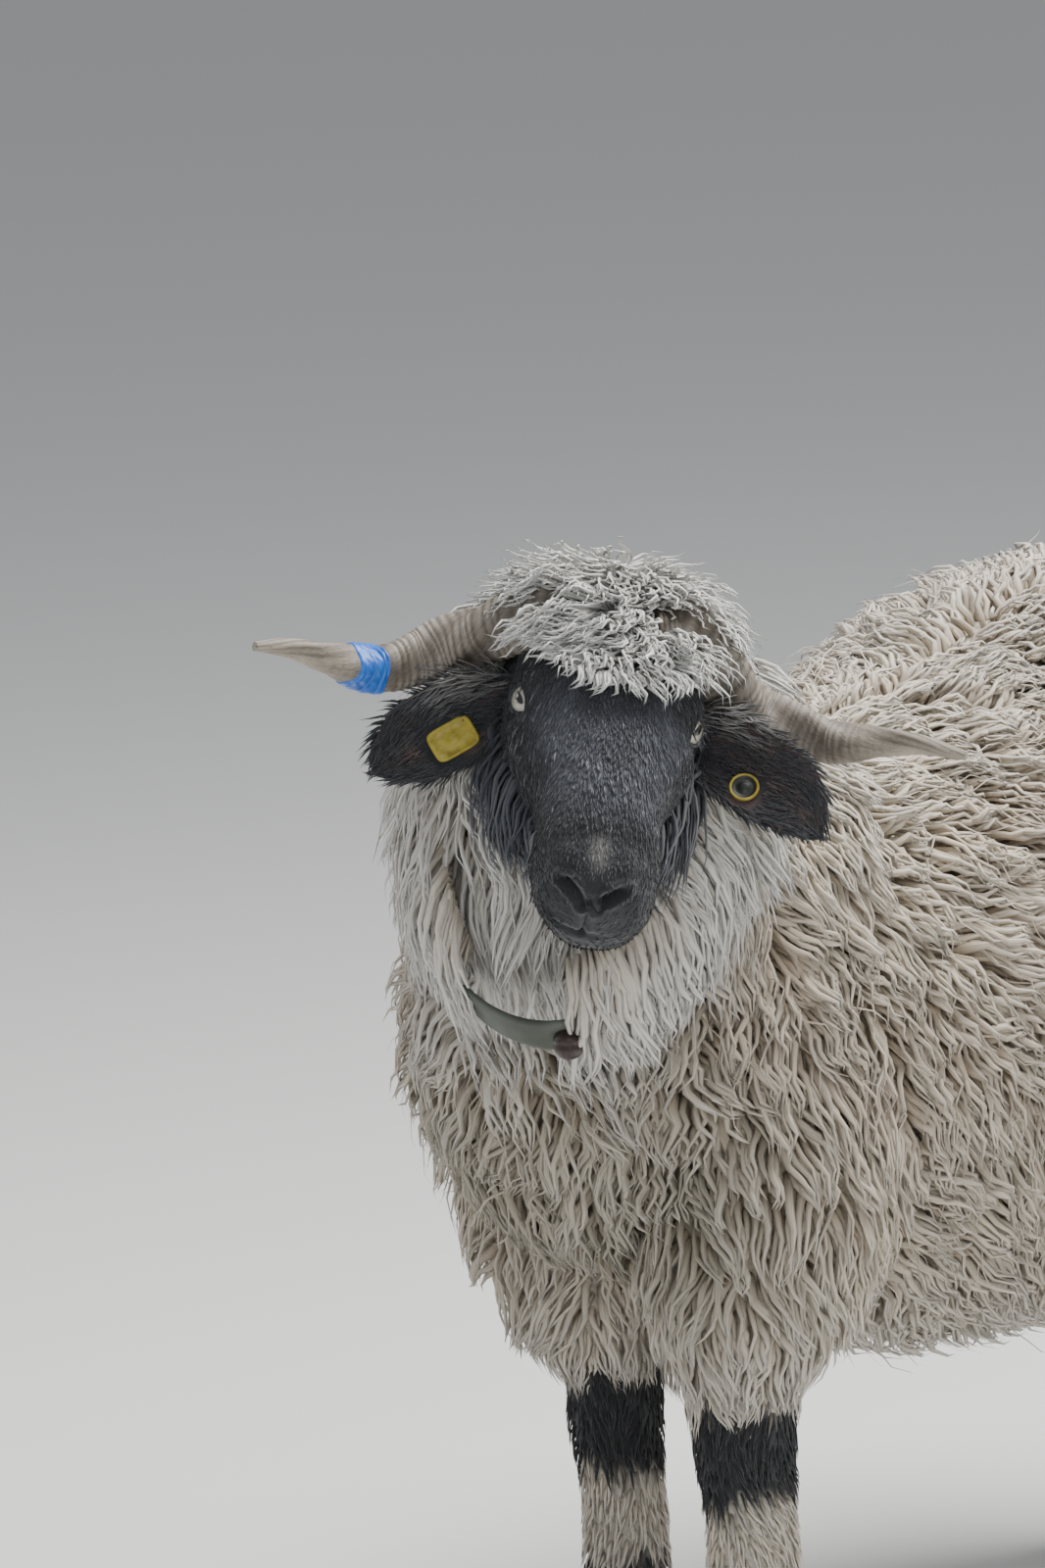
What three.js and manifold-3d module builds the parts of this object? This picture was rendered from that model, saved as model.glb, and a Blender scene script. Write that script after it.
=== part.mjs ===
// Valais blacknose sheep, an adult ewe that stands with its head turned to its left.
// Millimetres, +Z up. The animal faces -Y and its left side is +X.
// Every solid runs out to the tips of the wool, and nodes meet on thin flat cuts.

import * as THREE from 'three';
import { mergeVertices } from 'three/addons/utils/BufferGeometryUtils.js';
import Module from 'manifold-3d';

const wasm = await Module();
wasm.setup();

// Driving dimensions
const GAP = 0.3;                 // between neighbouring nodes
const CORE_DEPTH = 27;           // how far the core lies under the tips of the wool
const CLUMP_SINK = 12;           // how deep a clump's root sits in the core
const CLUMP_SIDES = 5;
const FORE_TRACK = 70;           // forefoot from the middle plane
const HIND_TRACK = 88;           // hind foot from the middle plane
const FORE_Y_LEFT = -331;
const FORE_Y_RIGHT = -291;
const HIND_Y_LEFT = 352;
const HIND_Y_RIGHT = 318;
const CORONET = 30;              // height of the top of the claws
const CLAW_LENGTH = 62;
const CLAW_WIDTH = 25;

// Head: the point between the eyes, its heading to the left, its nose-down angle and its tilt
const EYE_MIDDLE = new THREE.Vector3(172.7, -579.6, 783.4);
const HEAD_TURN = 33.3;
const HEAD_DOWN = 30.1;
const HEAD_TILT = 16.5;
const MUZZLE_TWIST = 6;          // the lips sit slightly askew under the nose
const EYE_RADIUS = 13;
const EYE_SIDE = 50.5;           // eyeball centre from the middle of the head

const NOSE_BLACK = { color: 0x1b1d22, roughness: 0.85, metalness: 0 };
const WOOL_CREAM = { color: 0xd9cdb4, roughness: 0.95, metalness: 0 };
const WOOL_WHITE = { color: 0xe6e0d2, roughness: 0.95, metalness: 0 };
const HORN_BROWN = { color: 0x8d7d68, roughness: 0.6, metalness: 0 };
const CLAW_DARK = { color: 0x2b2622, roughness: 0.5, metalness: 0 };
const EYE_PALE = { color: 0xb9b49c, roughness: 0.1, metalness: 0 };
const TAG_YELLOW = { color: 0xd8b62a, roughness: 0.45, metalness: 0 };
const TAPE_BLUE = { color: 0x1f6fd6, roughness: 0.5, metalness: 0 };
const STRAP_GREEN = { color: 0x6f776c, roughness: 0.8, metalness: 0 };
const KNOB_DARK = { color: 0x2a1f1a, roughness: 0.6, metalness: 0 };

const V = (x, y, z) => new THREE.Vector3(x, y, z);
const rad = THREE.MathUtils.degToRad;
const clamp = THREE.MathUtils.clamp;

// Head frame: side is the animal's left, nose runs from poll to nose, crown is out of the forehead
const headNose = V(
  Math.sin(rad(HEAD_TURN)) * Math.cos(rad(HEAD_DOWN)),
  -Math.cos(rad(HEAD_TURN)) * Math.cos(rad(HEAD_DOWN)),
  -Math.sin(rad(HEAD_DOWN)),
);
const levelSide = V(Math.cos(rad(HEAD_TURN)), Math.sin(rad(HEAD_TURN)), 0);
const levelCrown = new THREE.Vector3().crossVectors(headNose, levelSide);
const tiltCos = Math.cos(rad(HEAD_TILT));
const tiltSin = Math.sin(rad(HEAD_TILT));
const headSide = levelSide.clone().multiplyScalar(tiltCos).addScaledVector(levelCrown, -tiltSin);
const headCrown = levelCrown.clone().multiplyScalar(tiltCos).addScaledVector(levelSide, tiltSin);

function headDirection(side, nose, crown) {
  return V(0, 0, 0).addScaledVector(headSide, side).addScaledVector(headNose, nose)
    .addScaledVector(headCrown, crown);
}

function onHead(side, nose, crown) {
  return EYE_MIDDLE.clone().add(headDirection(side, nose, crown));
}

// Smooth curve through the rows of a table, column by column, with no overshoot.
// Each row is [place, value, value ...]; the result gives the values at a place.
function through(rows) {
  const places = rows.map((row) => row[0]);
  const columns = rows[0].length - 1;
  const last = rows.length - 1;
  const slopes = [];
  for (let c = 0; c < columns; c += 1) {
    const secants = [];
    for (let i = 0; i < last; i += 1) {
      secants.push((rows[i + 1][c + 1] - rows[i][c + 1]) / (places[i + 1] - places[i]));
    }
    const column = [secants[0]];
    for (let i = 1; i < last; i += 1) {
      const product = secants[i - 1] * secants[i];
      column.push(product > 0 ? (2 * product) / (secants[i - 1] + secants[i]) : 0);
    }
    column.push(secants[last - 1]);
    slopes.push(column);
  }
  return (place) => {
    const at = clamp(place, places[0], places[last]);
    let i = 0;
    while (i < last - 1 && at > places[i + 1]) {
      i += 1;
    }
    const span = places[i + 1] - places[i];
    const s = (at - places[i]) / span;
    const values = [];
    for (let c = 0; c < columns; c += 1) {
      const a = rows[i][c + 1];
      const b = rows[i + 1][c + 1];
      const blend = s * s * (3 - 2 * s);
      values.push(a + (b - a) * blend
        + slopes[c][i] * span * s * (1 - s) * (1 - s)
        - slopes[c][i + 1] * span * s * s * (1 - s));
    }
    return values;
  };
}

// A closed body from rings of points, with a fan over each end, the last one up to a tip if given
function loft(rings, lastTip = null) {
  const count = rings[0].length;
  const positions = [];
  for (const ring of rings) {
    for (const p of ring) {
      positions.push(p.x, p.y, p.z);
    }
  }
  const index = [];
  for (let r = 0; r < rings.length - 1; r += 1) {
    for (let i = 0; i < count; i += 1) {
      const a = r * count + i;
      const b = r * count + ((i + 1) % count);
      index.push(a, b, b + count, a, b + count, a + count);
    }
  }
  const ends = [[0, true], [rings.length - 1, false]];
  for (const [r, isFirst] of ends) {
    const centre = V(0, 0, 0);
    if (lastTip && !isFirst) {
      centre.copy(lastTip);
    } else {
      rings[r].forEach((p) => centre.addScaledVector(p, 1 / count));
    }
    const tip = positions.length / 3;
    positions.push(centre.x, centre.y, centre.z);
    for (let i = 0; i < count; i += 1) {
      const a = r * count + i;
      const b = r * count + ((i + 1) % count);
      index.push(...(isFirst ? [b, a, tip] : [a, b, tip]));
    }
  }
  const geometry = new THREE.BufferGeometry();
  geometry.setAttribute('position', new THREE.Float32BufferAttribute(positions, 3));
  geometry.setIndex(index);
  return geometry;
}

// Six times the volume inside a triangle mesh, negative when its faces point inwards
function signedVolume(vertices, triangles) {
  let total = 0;
  const a = V(0, 0, 0);
  const b = V(0, 0, 0);
  const c = V(0, 0, 0);
  for (let t = 0; t < triangles.length; t += 3) {
    a.fromArray(vertices, triangles[t] * 3);
    b.fromArray(vertices, triangles[t + 1] * 3);
    c.fromArray(vertices, triangles[t + 2] * 3);
    total += a.dot(b.cross(c));
  }
  return total;
}

// A three.js geometry as a solid for joining and cutting
function solid(geometry) {
  geometry.deleteAttribute('normal');
  geometry.deleteAttribute('uv');
  const merged = mergeVertices(geometry, 1e-4);
  const vertProperties = Float32Array.from(merged.attributes.position.array);
  const triVerts = Uint32Array.from(merged.index.array);
  if (signedVolume(vertProperties, triVerts) < 0) {
    for (let t = 0; t < triVerts.length; t += 3) {
      [triVerts[t], triVerts[t + 1]] = [triVerts[t + 1], triVerts[t]];
    }
  }
  return new wasm.Manifold(new wasm.Mesh({ numProp: 3, vertProperties, triVerts }));
}

// Only the largest closed surface of a solid is kept
function largest(body) {
  const pieces = body.decompose();
  pieces.sort((one, other) => other.volume() - one.volume());
  return pieces[0];
}

function joined(solids) {
  return wasm.Manifold.union(solids);
}

const group = new THREE.Group();

// The finished node, with its colour, in the model's group
function addNode(name, body, finish) {
  const kept = largest(body).getMesh();
  const geometry = new THREE.BufferGeometry();
  const places = new Float32Array(kept.numVert * 3);
  for (let i = 0; i < kept.numVert; i += 1) {
    for (let k = 0; k < 3; k += 1) {
      places[i * 3 + k] = kept.vertProperties[i * kept.numProp + k];
    }
  }
  geometry.setAttribute('position', new THREE.BufferAttribute(places, 3));
  geometry.setIndex(new THREE.BufferAttribute(Uint32Array.from(kept.triVerts), 1));
  geometry.computeVertexNormals();
  const mesh = new THREE.Mesh(geometry, new THREE.MeshStandardMaterial(finish));
  mesh.name = name;
  group.add(mesh);
}

// One side of a plane, as a large block. The block lies on the side that the normal points to.
const BLOCK = 3000;

function halfSpace(point, normal) {
  const geometry = new THREE.BoxGeometry(BLOCK, BLOCK, BLOCK);
  geometry.translate(0, 0, BLOCK / 2);
  const turn = new THREE.Quaternion().setFromUnitVectors(V(0, 0, 1), normal.clone().normalize());
  geometry.applyQuaternion(turn);
  geometry.translate(point.x, point.y, point.z);
  return solid(geometry);
}

function block(low, high) {
  const geometry = new THREE.BoxGeometry(high.x - low.x, high.y - low.y, high.z - low.z);
  geometry.translate((high.x + low.x) / 2, (high.y + low.y) / 2, (high.z + low.z) / 2);
  return solid(geometry);
}

function ball(centre, radius, wide = 12, high = 8) {
  const geometry = new THREE.SphereGeometry(radius, wide, high);
  geometry.translate(centre.x, centre.y, centre.z);
  return solid(geometry);
}

// A form along a path: rows of [place, x, y, z, side radius, rise radius].
// The side axis is level with the hint, and the section is a rounded oblong.
function form(rows, sideHint, fullness = 2.2) {
  const values = through(rows);
  const start = rows[0][0];
  const end = rows[rows.length - 1][0];
  const step = (end - start) / 400;
  const centre = (t) => V(...values(t).slice(0, 3));
  const frame = (t) => {
    const along = centre(Math.min(t + step, end)).sub(centre(Math.max(t - step, start))).normalize();
    const rise = new THREE.Vector3().crossVectors(along, sideHint).normalize();
    const side = new THREE.Vector3().crossVectors(rise, along).normalize();
    return { along, rise, side };
  };
  const point = (t, angle, depth = 0) => {
    const [x, y, z, wide, tall] = values(t);
    const { rise, side } = frame(t);
    const c = Math.cos(angle);
    const s = Math.sin(angle);
    const power = 2 / fullness;
    const across = Math.max(wide - depth, 1) * Math.sign(c) * Math.abs(c) ** power;
    const up = Math.max(tall - depth, 1) * Math.sign(s) * Math.abs(s) ** power;
    return V(x, y, z).addScaledVector(side, across).addScaledVector(rise, up);
  };
  const body = (along, around, depth = () => 0) => {
    const rings = [];
    for (let i = 0; i <= along; i += 1) {
      const t = start + ((end - start) * i) / along;
      const ring = [];
      for (let k = 0; k < around; k += 1) {
        ring.push(point(t, (2 * Math.PI * k) / around, depth(t)));
      }
      rings.push(ring);
    }
    return solid(loft(rings));
  };
  return { point, body, frame, centre, start, end };
}

// Seeded random numbers between 0 and 1
function dice(seed) {
  let state = seed;
  return () => {
    state = (state * 1664525 + 1013904223) % 4294967296;
    return state / 4294967296;
  };
}

// One rounded clump of wool: sunk root, full middle and a tip that leans along the lie
function clump(root, out, lie, width, height) {
  const side = new THREE.Vector3().crossVectors(out, lie).normalize();
  const flow = new THREE.Vector3().crossVectors(side, out).normalize();
  const levels = [
    [-CLUMP_SINK, 0.4, 0],
    [height * 0.45, 0.5, 0.05],
    [height * 0.88, 0.32, 0.16],
  ];
  const rings = levels.map(([rise, share, lean]) => {
    const ring = [];
    for (let k = 0; k < CLUMP_SIDES; k += 1) {
      const angle = (2 * Math.PI * k) / CLUMP_SIDES;
      ring.push(root.clone().addScaledVector(out, rise)
        .addScaledVector(side, width * share * Math.cos(angle))
        .addScaledVector(flow, width * (share * Math.sin(angle) + lean)));
    }
    return ring;
  });
  const tip = root.clone().addScaledVector(out, height).addScaledVector(flow, width * 0.24);
  return solid(loft(rings, tip));
}

// Clumps set close over a form, in staggered rows. The depth is the coat's own at each place,
// and the lie is the way the wool falls.
function coat(shape, { from, to, spacing, depth, lie, seed, keep = () => true }) {
  const random = dice(seed);
  const clumps = [];
  const length = shape.centre(from).distanceTo(shape.centre(to));
  const rows = Math.max(1, Math.round(length / (spacing * 0.88)));
  for (let r = 0; r <= rows; r += 1) {
    const t = from + ((to - from) * r) / rows;
    let girth = 0;
    for (let k = 0; k < 16; k += 1) {
      const here = shape.point(t, (Math.PI * k) / 8);
      girth += here.distanceTo(shape.point(t, (Math.PI * (k + 1)) / 8));
    }
    const count = Math.max(3, Math.round(girth / spacing));
    for (let k = 0; k < count; k += 1) {
      const angle = (2 * Math.PI * (k + 0.5 * (r % 2) + 0.15 * (random() - 0.5))) / count;
      const place = clamp(t + (random() - 0.5) * 0.1 * ((to - from) / rows), shape.start, shape.end);
      const size = spacing * (0.9 + 0.1 * random());
      const thick = depth(place);
      const root = shape.point(place, angle, thick);
      const nudge = (shape.end - shape.start) / 200;
      const ahead = shape.point(Math.min(place + nudge, shape.end), angle, thick)
        .sub(shape.point(Math.max(place - nudge, shape.start), angle, thick));
      const round = shape.point(place, angle + 0.05, thick).sub(shape.point(place, angle - 0.05, thick));
      const out = new THREE.Vector3().crossVectors(round, ahead).normalize();
      if (out.dot(root.clone().sub(shape.centre(place))) < 0) {
        out.negate();
      }
      if (keep(root, out)) {
        clumps.push(clump(root, out, lie(root), size, thick * (0.86 + 0.14 * random())));
      }
    }
  }
  return clumps;
}

// Torso: rows of [y, top, bottom, half width], out to the tips of the wool
const torsoRows = [
  [-492, 526, 508, 8],
  [-484, 590, 448, 68],
  [-455, 642, 402, 120],
  [-410, 680, 365, 160],
  [-350, 708, 336, 184],
  [-260, 714, 302, 198],
  [-170, 708, 260, 210],
  [-60, 712, 237, 228],
  [60, 730, 230, 243],
  [170, 762, 240, 250],
  [260, 775, 276, 246],
  [340, 766, 338, 230],
  [400, 740, 410, 200],
  [440, 710, 482, 160],
  [464, 668, 556, 100],
  [474, 622, 604, 8],
];
const torso = form(
  torsoRows.map(([y, top, bottom, half]) => [y, 0, y, (top + bottom) / 2, half, (top - bottom) / 2]),
  V(1, 0, 0),
  2.1,
);

// Neck: from inside the chest up to the back of the head, bent to the animal's left
const neck = form([
  [0, 0, -250, 570, 150, 140],
  [0.25, 6, -330, 605, 172, 165],
  [0.5, 24, -402, 652, 142, 146],
  [0.75, 55, -462, 706, 120, 130],
  [1, 104, -508, 760, 112, 118],
], V(0.9, 0.43, 0), 2.1);

// Legs: rows of [place, x, y, z, half width, half depth] relative to the foot, left side
const foreRows = [
  [0, 22, 26, 520, 92, 110],
  [0.2, 22, 8, 440, 96, 106],
  [0.38, 14, -2, 365, 80, 88],
  [0.5, 4, -3, 310, 52, 60],
  [0.6, 0, -3, 270, 36, 41],
  [0.7, 0, -4, 232, 33, 37],
  [0.8, 0, 0, 175, 29, 31],
  [0.9, 0, 0, 110, 30, 32],
  [0.96, 0, -4, 70, 35, 38],
  [1, 0, -10, 30.3, 29, 36],
];
const hindRows = [
  [0, 24, -92, 560, 98, 138],
  [0.2, 24, -72, 460, 98, 134],
  [0.36, 18, -26, 375, 76, 104],
  [0.48, 8, 34, 318, 45, 62],
  [0.56, 3, 52, 278, 34, 43],
  [0.66, 0, 44, 226, 29, 33],
  [0.78, 0, 30, 160, 27, 29],
  [0.89, 0, 18, 105, 30, 32],
  [0.96, 0, 4, 68, 35, 38],
  [1, 0, -8, 30.3, 29, 36],
];

function legForm(rows, footX, footY, side) {
  const placed = rows.map(([t, x, y, z, wide, deep]) => (
    [t, footX + side * x, footY + y, z, wide, deep]));
  return form(placed, V(1, 0, 0), 2.1);
}

const legs = [
  { name: 'foreleg_left', rows: foreRows, x: FORE_TRACK, y: FORE_Y_LEFT, side: 1 },
  { name: 'foreleg_right', rows: foreRows, x: -FORE_TRACK, y: FORE_Y_RIGHT, side: -1 },
  { name: 'hindleg_left', rows: hindRows, x: HIND_TRACK, y: HIND_Y_LEFT, side: 1 },
  { name: 'hindleg_right', rows: hindRows, x: -HIND_TRACK, y: HIND_Y_RIGHT, side: -1 },
];
for (const leg of legs) {
  leg.form = legForm(leg.rows, leg.x, leg.y, leg.side);
}

const tail = form([
  [0, 0, 415, 672, 40, 30],
  [0.15, 0, 458, 652, 48, 36],
  [0.35, 0, 486, 600, 52, 38],
  [0.7, 2, 494, 510, 48, 36],
  [0.92, 3, 490, 450, 34, 27],
  [1, 3, 488, 428, 8, 8],
], V(1, 0, 0));

// Cuts between the nodes of the body
const headCut = { point: onHead(0, -60, -60), normal: headDirection(0.22, -0.6, -0.77).normalize() };
const neckCut = { point: V(0, -418, 655), normal: V(0.12, -0.68, 0.72).normalize() };
const SHOULDER_CUT = -120;       // between the fore and the middle part of the trunk
const RUMP_CUT = 175;            // between the middle and the hind part of the trunk
const FORE_CUT = 352;            // height where a foreleg meets the trunk
const HIND_CUT = 372;            // height where a hind leg meets the trunk
const ELBOW_CUT = -205;          // the belly starts behind this place
const STIFLE_CUT = 181;          // and ends in front of this one
const KNEE_CUT = 284;            // a little above the knee
const HOCK_CUT = 304;            // a little above the hock
const LEG_INNER = 12;            // the legs start this far from the middle plane
const TAIL_CUT = 452;
const TAIL_ROOT_LOW = V(-60, TAIL_CUT, 380);
const TAIL_ROOT_HIGH = V(60, 600, 720);
const LEGS_WIDEST = 420;         // beyond the outermost wool of the legs
const LEGS_FRONT = -520;         // in front of the forelegs
const LEGS_BACK = 480;           // behind the hind legs
const SHANK_CLEAR = 10;          // the trunk keeps this much further from the shanks, fore and aft

function shifted(cut, distance) {
  return cut.point.clone().addScaledVector(cut.normal, distance);
}

// The wool of the legs thins out to short hair above the knee and hock
const legDepth = (t) => 20 * (1 - THREE.MathUtils.smoothstep(t, 0.3, 0.6));
const trunkDepth = () => CORE_DEPTH;
const backAndDown = (p) => V(0, 0.75, p.z > 600 ? -0.3 : -0.8);
const down = () => V(0, 0.15, -1);
const woolParts = [torso.body(12, 13, trunkDepth), neck.body(5, 12, trunkDepth)];
woolParts.push(...coat(torso, {
  from: -456, to: 438, spacing: 171, depth: trunkDepth, lie: backAndDown, seed: 11,
}));
woolParts.push(...coat(neck, {
  from: 0.55, to: 0.93, spacing: 116, depth: trunkDepth, lie: down, seed: 23,
}));
for (const leg of legs) {
  woolParts.push(leg.form.body(11, 8, legDepth));
  woolParts.push(...coat(leg.form, {
    from: 0.36, to: 0.46, spacing: 128, depth: (t) => legDepth(t) + 4, lie: down, seed: 31,
    keep: (root) => root.distanceTo(V(0, root.y, root.z)) > 40,
  }));
}
const wool = joined(woolParts);
const trunkSide = halfSpace(shifted(neckCut, -GAP / 2), neckCut.normal.clone().negate());
const neckSide = halfSpace(shifted(neckCut, GAP / 2), neckCut.normal);
const behindHead = halfSpace(shifted(headCut, GAP / 2), headCut.normal);

// Boxes that hold the four woolly upper legs; the trunk keeps clear of them by the gap
function legBox(leg, grow) {
  const isFore = leg.name.startsWith('fore');
  const top = isFore ? FORE_CUT : HIND_CUT;
  const back = isFore ? ELBOW_CUT : LEGS_BACK;
  const front = isFore ? LEGS_FRONT : STIFLE_CUT;
  const inner = LEG_INNER - grow;
  const low = V(leg.side > 0 ? inner : -LEGS_WIDEST, front - grow, isFore ? KNEE_CUT : HOCK_CUT);
  const high = V(leg.side > 0 ? LEGS_WIDEST : -inner, back + grow, top + grow);
  return block(low, high);
}

// Boxes below the knees and hocks, where the trunk has nothing
function shankBox(leg) {
  const isFore = leg.name.startsWith('fore');
  const x = leg.side > 0 ? [LEG_INNER, LEGS_WIDEST] : [-LEGS_WIDEST, -LEG_INNER];
  const y = isFore ? [LEGS_FRONT, ELBOW_CUT - SHANK_CLEAR] : [STIFLE_CUT + 2 * SHANK_CLEAR, LEGS_BACK];
  return block(V(x[0], y[0], -1), V(x[1], y[1], isFore ? KNEE_CUT + 1 : HOCK_CUT + 1));
}

let trunk = wool.intersect(trunkSide);
for (const leg of legs) {
  const isFore = leg.name.startsWith('fore');
  trunk = trunk.subtract(legBox(leg, GAP)).subtract(shankBox(leg));
  addNode(leg.name, wool.intersect(legBox(leg, 0)).intersect(trunkSide), WOOL_WHITE);
  // the short-haired shank, from the knee or hock down to the claws
  const shankTop = (isFore ? KNEE_CUT : HOCK_CUT) - GAP;
  const shankRoom = block(V(-LEGS_WIDEST, LEGS_FRONT, CORONET + GAP), V(LEGS_WIDEST, LEGS_BACK, shankTop));
  const shank = leg.form.body(16, 10).intersect(shankRoom);
  addNode(leg.name.replace('leg', 'shank'), shank, WOOL_WHITE);
}
const tailSide = halfSpace(V(0, TAIL_CUT, 0), V(0, 1, 0));
const fromY = (y) => halfSpace(V(0, y + GAP / 2, 0), V(0, 1, 0));
const uptoY = (y) => halfSpace(V(0, y - GAP / 2, 0), V(0, -1, 0));
const tailRoot = block(TAIL_ROOT_LOW, TAIL_ROOT_HIGH);
const tailHole = block(TAIL_ROOT_LOW.clone().subScalar(GAP), TAIL_ROOT_HIGH.clone().addScalar(GAP));
const tailDepth = () => 14;
const tailParts = [tail.body(6, 7, tailDepth), ...coat(tail, {
  from: 0.45, to: 0.88, spacing: 130, depth: tailDepth, lie: down, seed: 47,
})];
const rearTail = joined([wool, ...tailParts]);
addNode('torso_front', trunk.intersect(uptoY(SHOULDER_CUT)), WOOL_CREAM);
addNode('torso_middle', trunk.intersect(fromY(SHOULDER_CUT)).intersect(uptoY(RUMP_CUT)), WOOL_CREAM);
addNode('torso_rear', trunk.intersect(fromY(RUMP_CUT)).subtract(tailHole), WOOL_CREAM);
addNode('tail', rearTail.intersect(tailRoot).intersect(tailSide), WOOL_WHITE);

// Collar: a flat strap that hangs from the nape to the front of the throat
const strapTop = V(60, -400, 790);
const strapFoot = V(109, -590, 567);
const STRAP_HALF_ACROSS = 104;
const STRAP_WIDE = 35;
const STRAP_THICK = 4;
const STRAP_PIECES = 22;

// A place on the middle line of the strap, with its way out and the strap's own width direction
function strapPlace(angle) {
  const middle = strapTop.clone().add(strapFoot).multiplyScalar(0.5);
  const long = strapFoot.clone().sub(strapTop).multiplyScalar(0.5);
  const across = V(0.9, 0.43, 0);
  across.addScaledVector(long, -across.dot(long) / long.lengthSq()).normalize();
  const spoke = across.clone().multiplyScalar(STRAP_HALF_ACROSS * Math.cos(angle))
    .addScaledVector(long, Math.sin(angle));
  const widthways = new THREE.Vector3().crossVectors(across, long).normalize();
  return { at: middle.add(spoke), out: spoke.clone().normalize(), widthways };
}

function strapRing(thick, wide) {
  const rings = [];
  for (let i = 0; i < STRAP_PIECES; i += 1) {
    const { at, out, widthways } = strapPlace((2 * Math.PI * i) / STRAP_PIECES);
    const corner = (o, w) => at.clone().addScaledVector(out, (o * thick) / 2)
      .addScaledVector(widthways, (w * wide) / 2);
    rings.push([corner(1, 1), corner(1, -1), corner(-1, -1), corner(-1, 1)]);
  }
  return ringBody(rings);
}

// A closed ring of sections, such as a strap round a neck
function ringBody(rings) {
  const count = rings[0].length;
  const positions = rings.flat().flatMap((p) => [p.x, p.y, p.z]);
  const index = [];
  for (let r = 0; r < rings.length; r += 1) {
    const next = (r + 1) % rings.length;
    for (let i = 0; i < count; i += 1) {
      const j = (i + 1) % count;
      const a = r * count + i;
      const b = r * count + j;
      const c = next * count + j;
      const d = next * count + i;
      index.push(a, b, c, a, c, d);
    }
  }
  const geometry = new THREE.BufferGeometry();
  geometry.setAttribute('position', new THREE.Float32BufferAttribute(positions, 3));
  geometry.setIndex(index);
  return solid(geometry);
}

const strap = strapRing(STRAP_THICK, STRAP_WIDE);
const strapSlot = strapRing(STRAP_THICK + 2 * GAP, STRAP_WIDE + 2 * GAP);
addNode('collar_strap', strap, STRAP_GREEN);

// The knob hangs on the strap a little to the animal's left of its lowest point
const KNOB_RADIUS = 11;
const KNOB_ANGLE = 78;
const knobOn = strapPlace(rad(KNOB_ANGLE));
const knobPlace = knobOn.at.clone().addScaledVector(knobOn.out, KNOB_RADIUS * 0.75);
const knob = ball(knobPlace, KNOB_RADIUS, 8, 6).subtract(strapSlot);
addNode('collar_knob', knob, KNOB_DARK);
const knobRoom = ball(knobPlace, KNOB_RADIUS + GAP + 0.3, 8, 6);

const neckBody = wool.intersect(neckSide).intersect(behindHead).subtract(strapSlot).subtract(knobRoom);
addNode('neck', neckBody, WOOL_WHITE);

// Head: rows of [nose distance, half width, top, bottom, height of the widest part]
const headRows = [
  [-104, 8, -8, -24, -14],
  [-96, 44, 18, -52, -14],
  [-78, 57, 33, -78, -14],
  [-50, 63, 39, -92, -16],
  [-25, 62, 40, -90, -14],
  [0, 61, 39, -80, -10],
  [20, 58, 36, -76, -14],
  [40, 54, 33, -70, -18],
  [60, 48, 30, -63, -20],
  [80, 42, 25, -59, -20],
  [100, 40, 19, -61, -20],
  [118, 41, 12, -72, -26],
  [132, 39, 4, -84, -32],
  [144, 33, -4, -78, -36],
  [152, 25, -11, -64, -36],
  [157, 14, -19, -48, -33],
  [159.5, 3, -28, -36, -32],
];
const headValues = through(headRows);

function headSection(nose, angle, grow = 0) {
  const [halfWidth, topLine, bottomLine, widest] = headValues(nose);
  const half = halfWidth + grow;
  const top = topLine + grow;
  const bottom = bottomLine - grow;
  const c = Math.cos(angle);
  const s = Math.sin(angle);
  const power = 2 / 2.25;
  const side = half * Math.sign(c) * Math.abs(c) ** power;
  const reach = s > 0 ? top - widest : widest - bottom;
  const crown = widest + reach * Math.sign(s) * Math.abs(s) ** power;
  const twist = rad(MUZZLE_TWIST) * THREE.MathUtils.smoothstep(nose, 60, 150);
  return [side - crown * Math.sin(twist), nose, crown * Math.cos(twist)];
}

function headBody(along, around, grow = 0) {
  const rings = [];
  const start = headRows[0][0];
  const end = headRows[headRows.length - 1][0];
  for (let i = 0; i <= along; i += 1) {
    // rings crowd towards both ends of the head
    const share = 0.5 - 0.5 * Math.cos((Math.PI * i) / along);
    const nose = start + (end - start) * (0.45 * share + (0.55 * i) / along);
    const ring = [];
    for (let k = 0; k < around; k += 1) {
      ring.push(onHead(...headSection(nose, (2 * Math.PI * k) / around, grow)));
    }
    rings.push(ring);
  }
  return solid(loft(rings));
}

// Half width of the head at a place along the nose and a height
function headHalfAt(nose, crown) {
  const [half, top, bottom, widest] = headValues(nose);
  const reach = crown > widest ? top - widest : widest - bottom;
  const share = Math.min(Math.abs(crown - widest) / reach, 1);
  return half * (1 - share ** 2.25) ** (1 / 2.25);
}

// A thin tapering cut along a line of places on the head
function grooveBody(places, halfHigh, halfDeep, sides = 4) {
  const points = places.map((p) => onHead(...p));
  const curve = new THREE.CatmullRomCurve3(points);
  const steps = places.length;
  const rings = [];
  for (let i = 0; i <= steps; i += 1) {
    const t = i / steps;
    const at = curve.getPoint(t);
    const along = curve.getTangent(t);
    const deep = new THREE.Vector3().crossVectors(along, headCrown).normalize();
    const high = new THREE.Vector3().crossVectors(deep, along).normalize();
    const size = 0.25 + 0.75 * Math.sin(Math.PI * t) ** 0.5;
    const ring = [];
    for (let k = 0; k < sides; k += 1) {
      const angle = (2 * Math.PI * k) / sides;
      ring.push(at.clone().addScaledVector(deep, halfDeep * Math.cos(angle))
        .addScaledVector(high, halfHigh * size * Math.sin(angle)));
    }
    rings.push(ring);
  }
  return solid(loft(rings));
}

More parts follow.
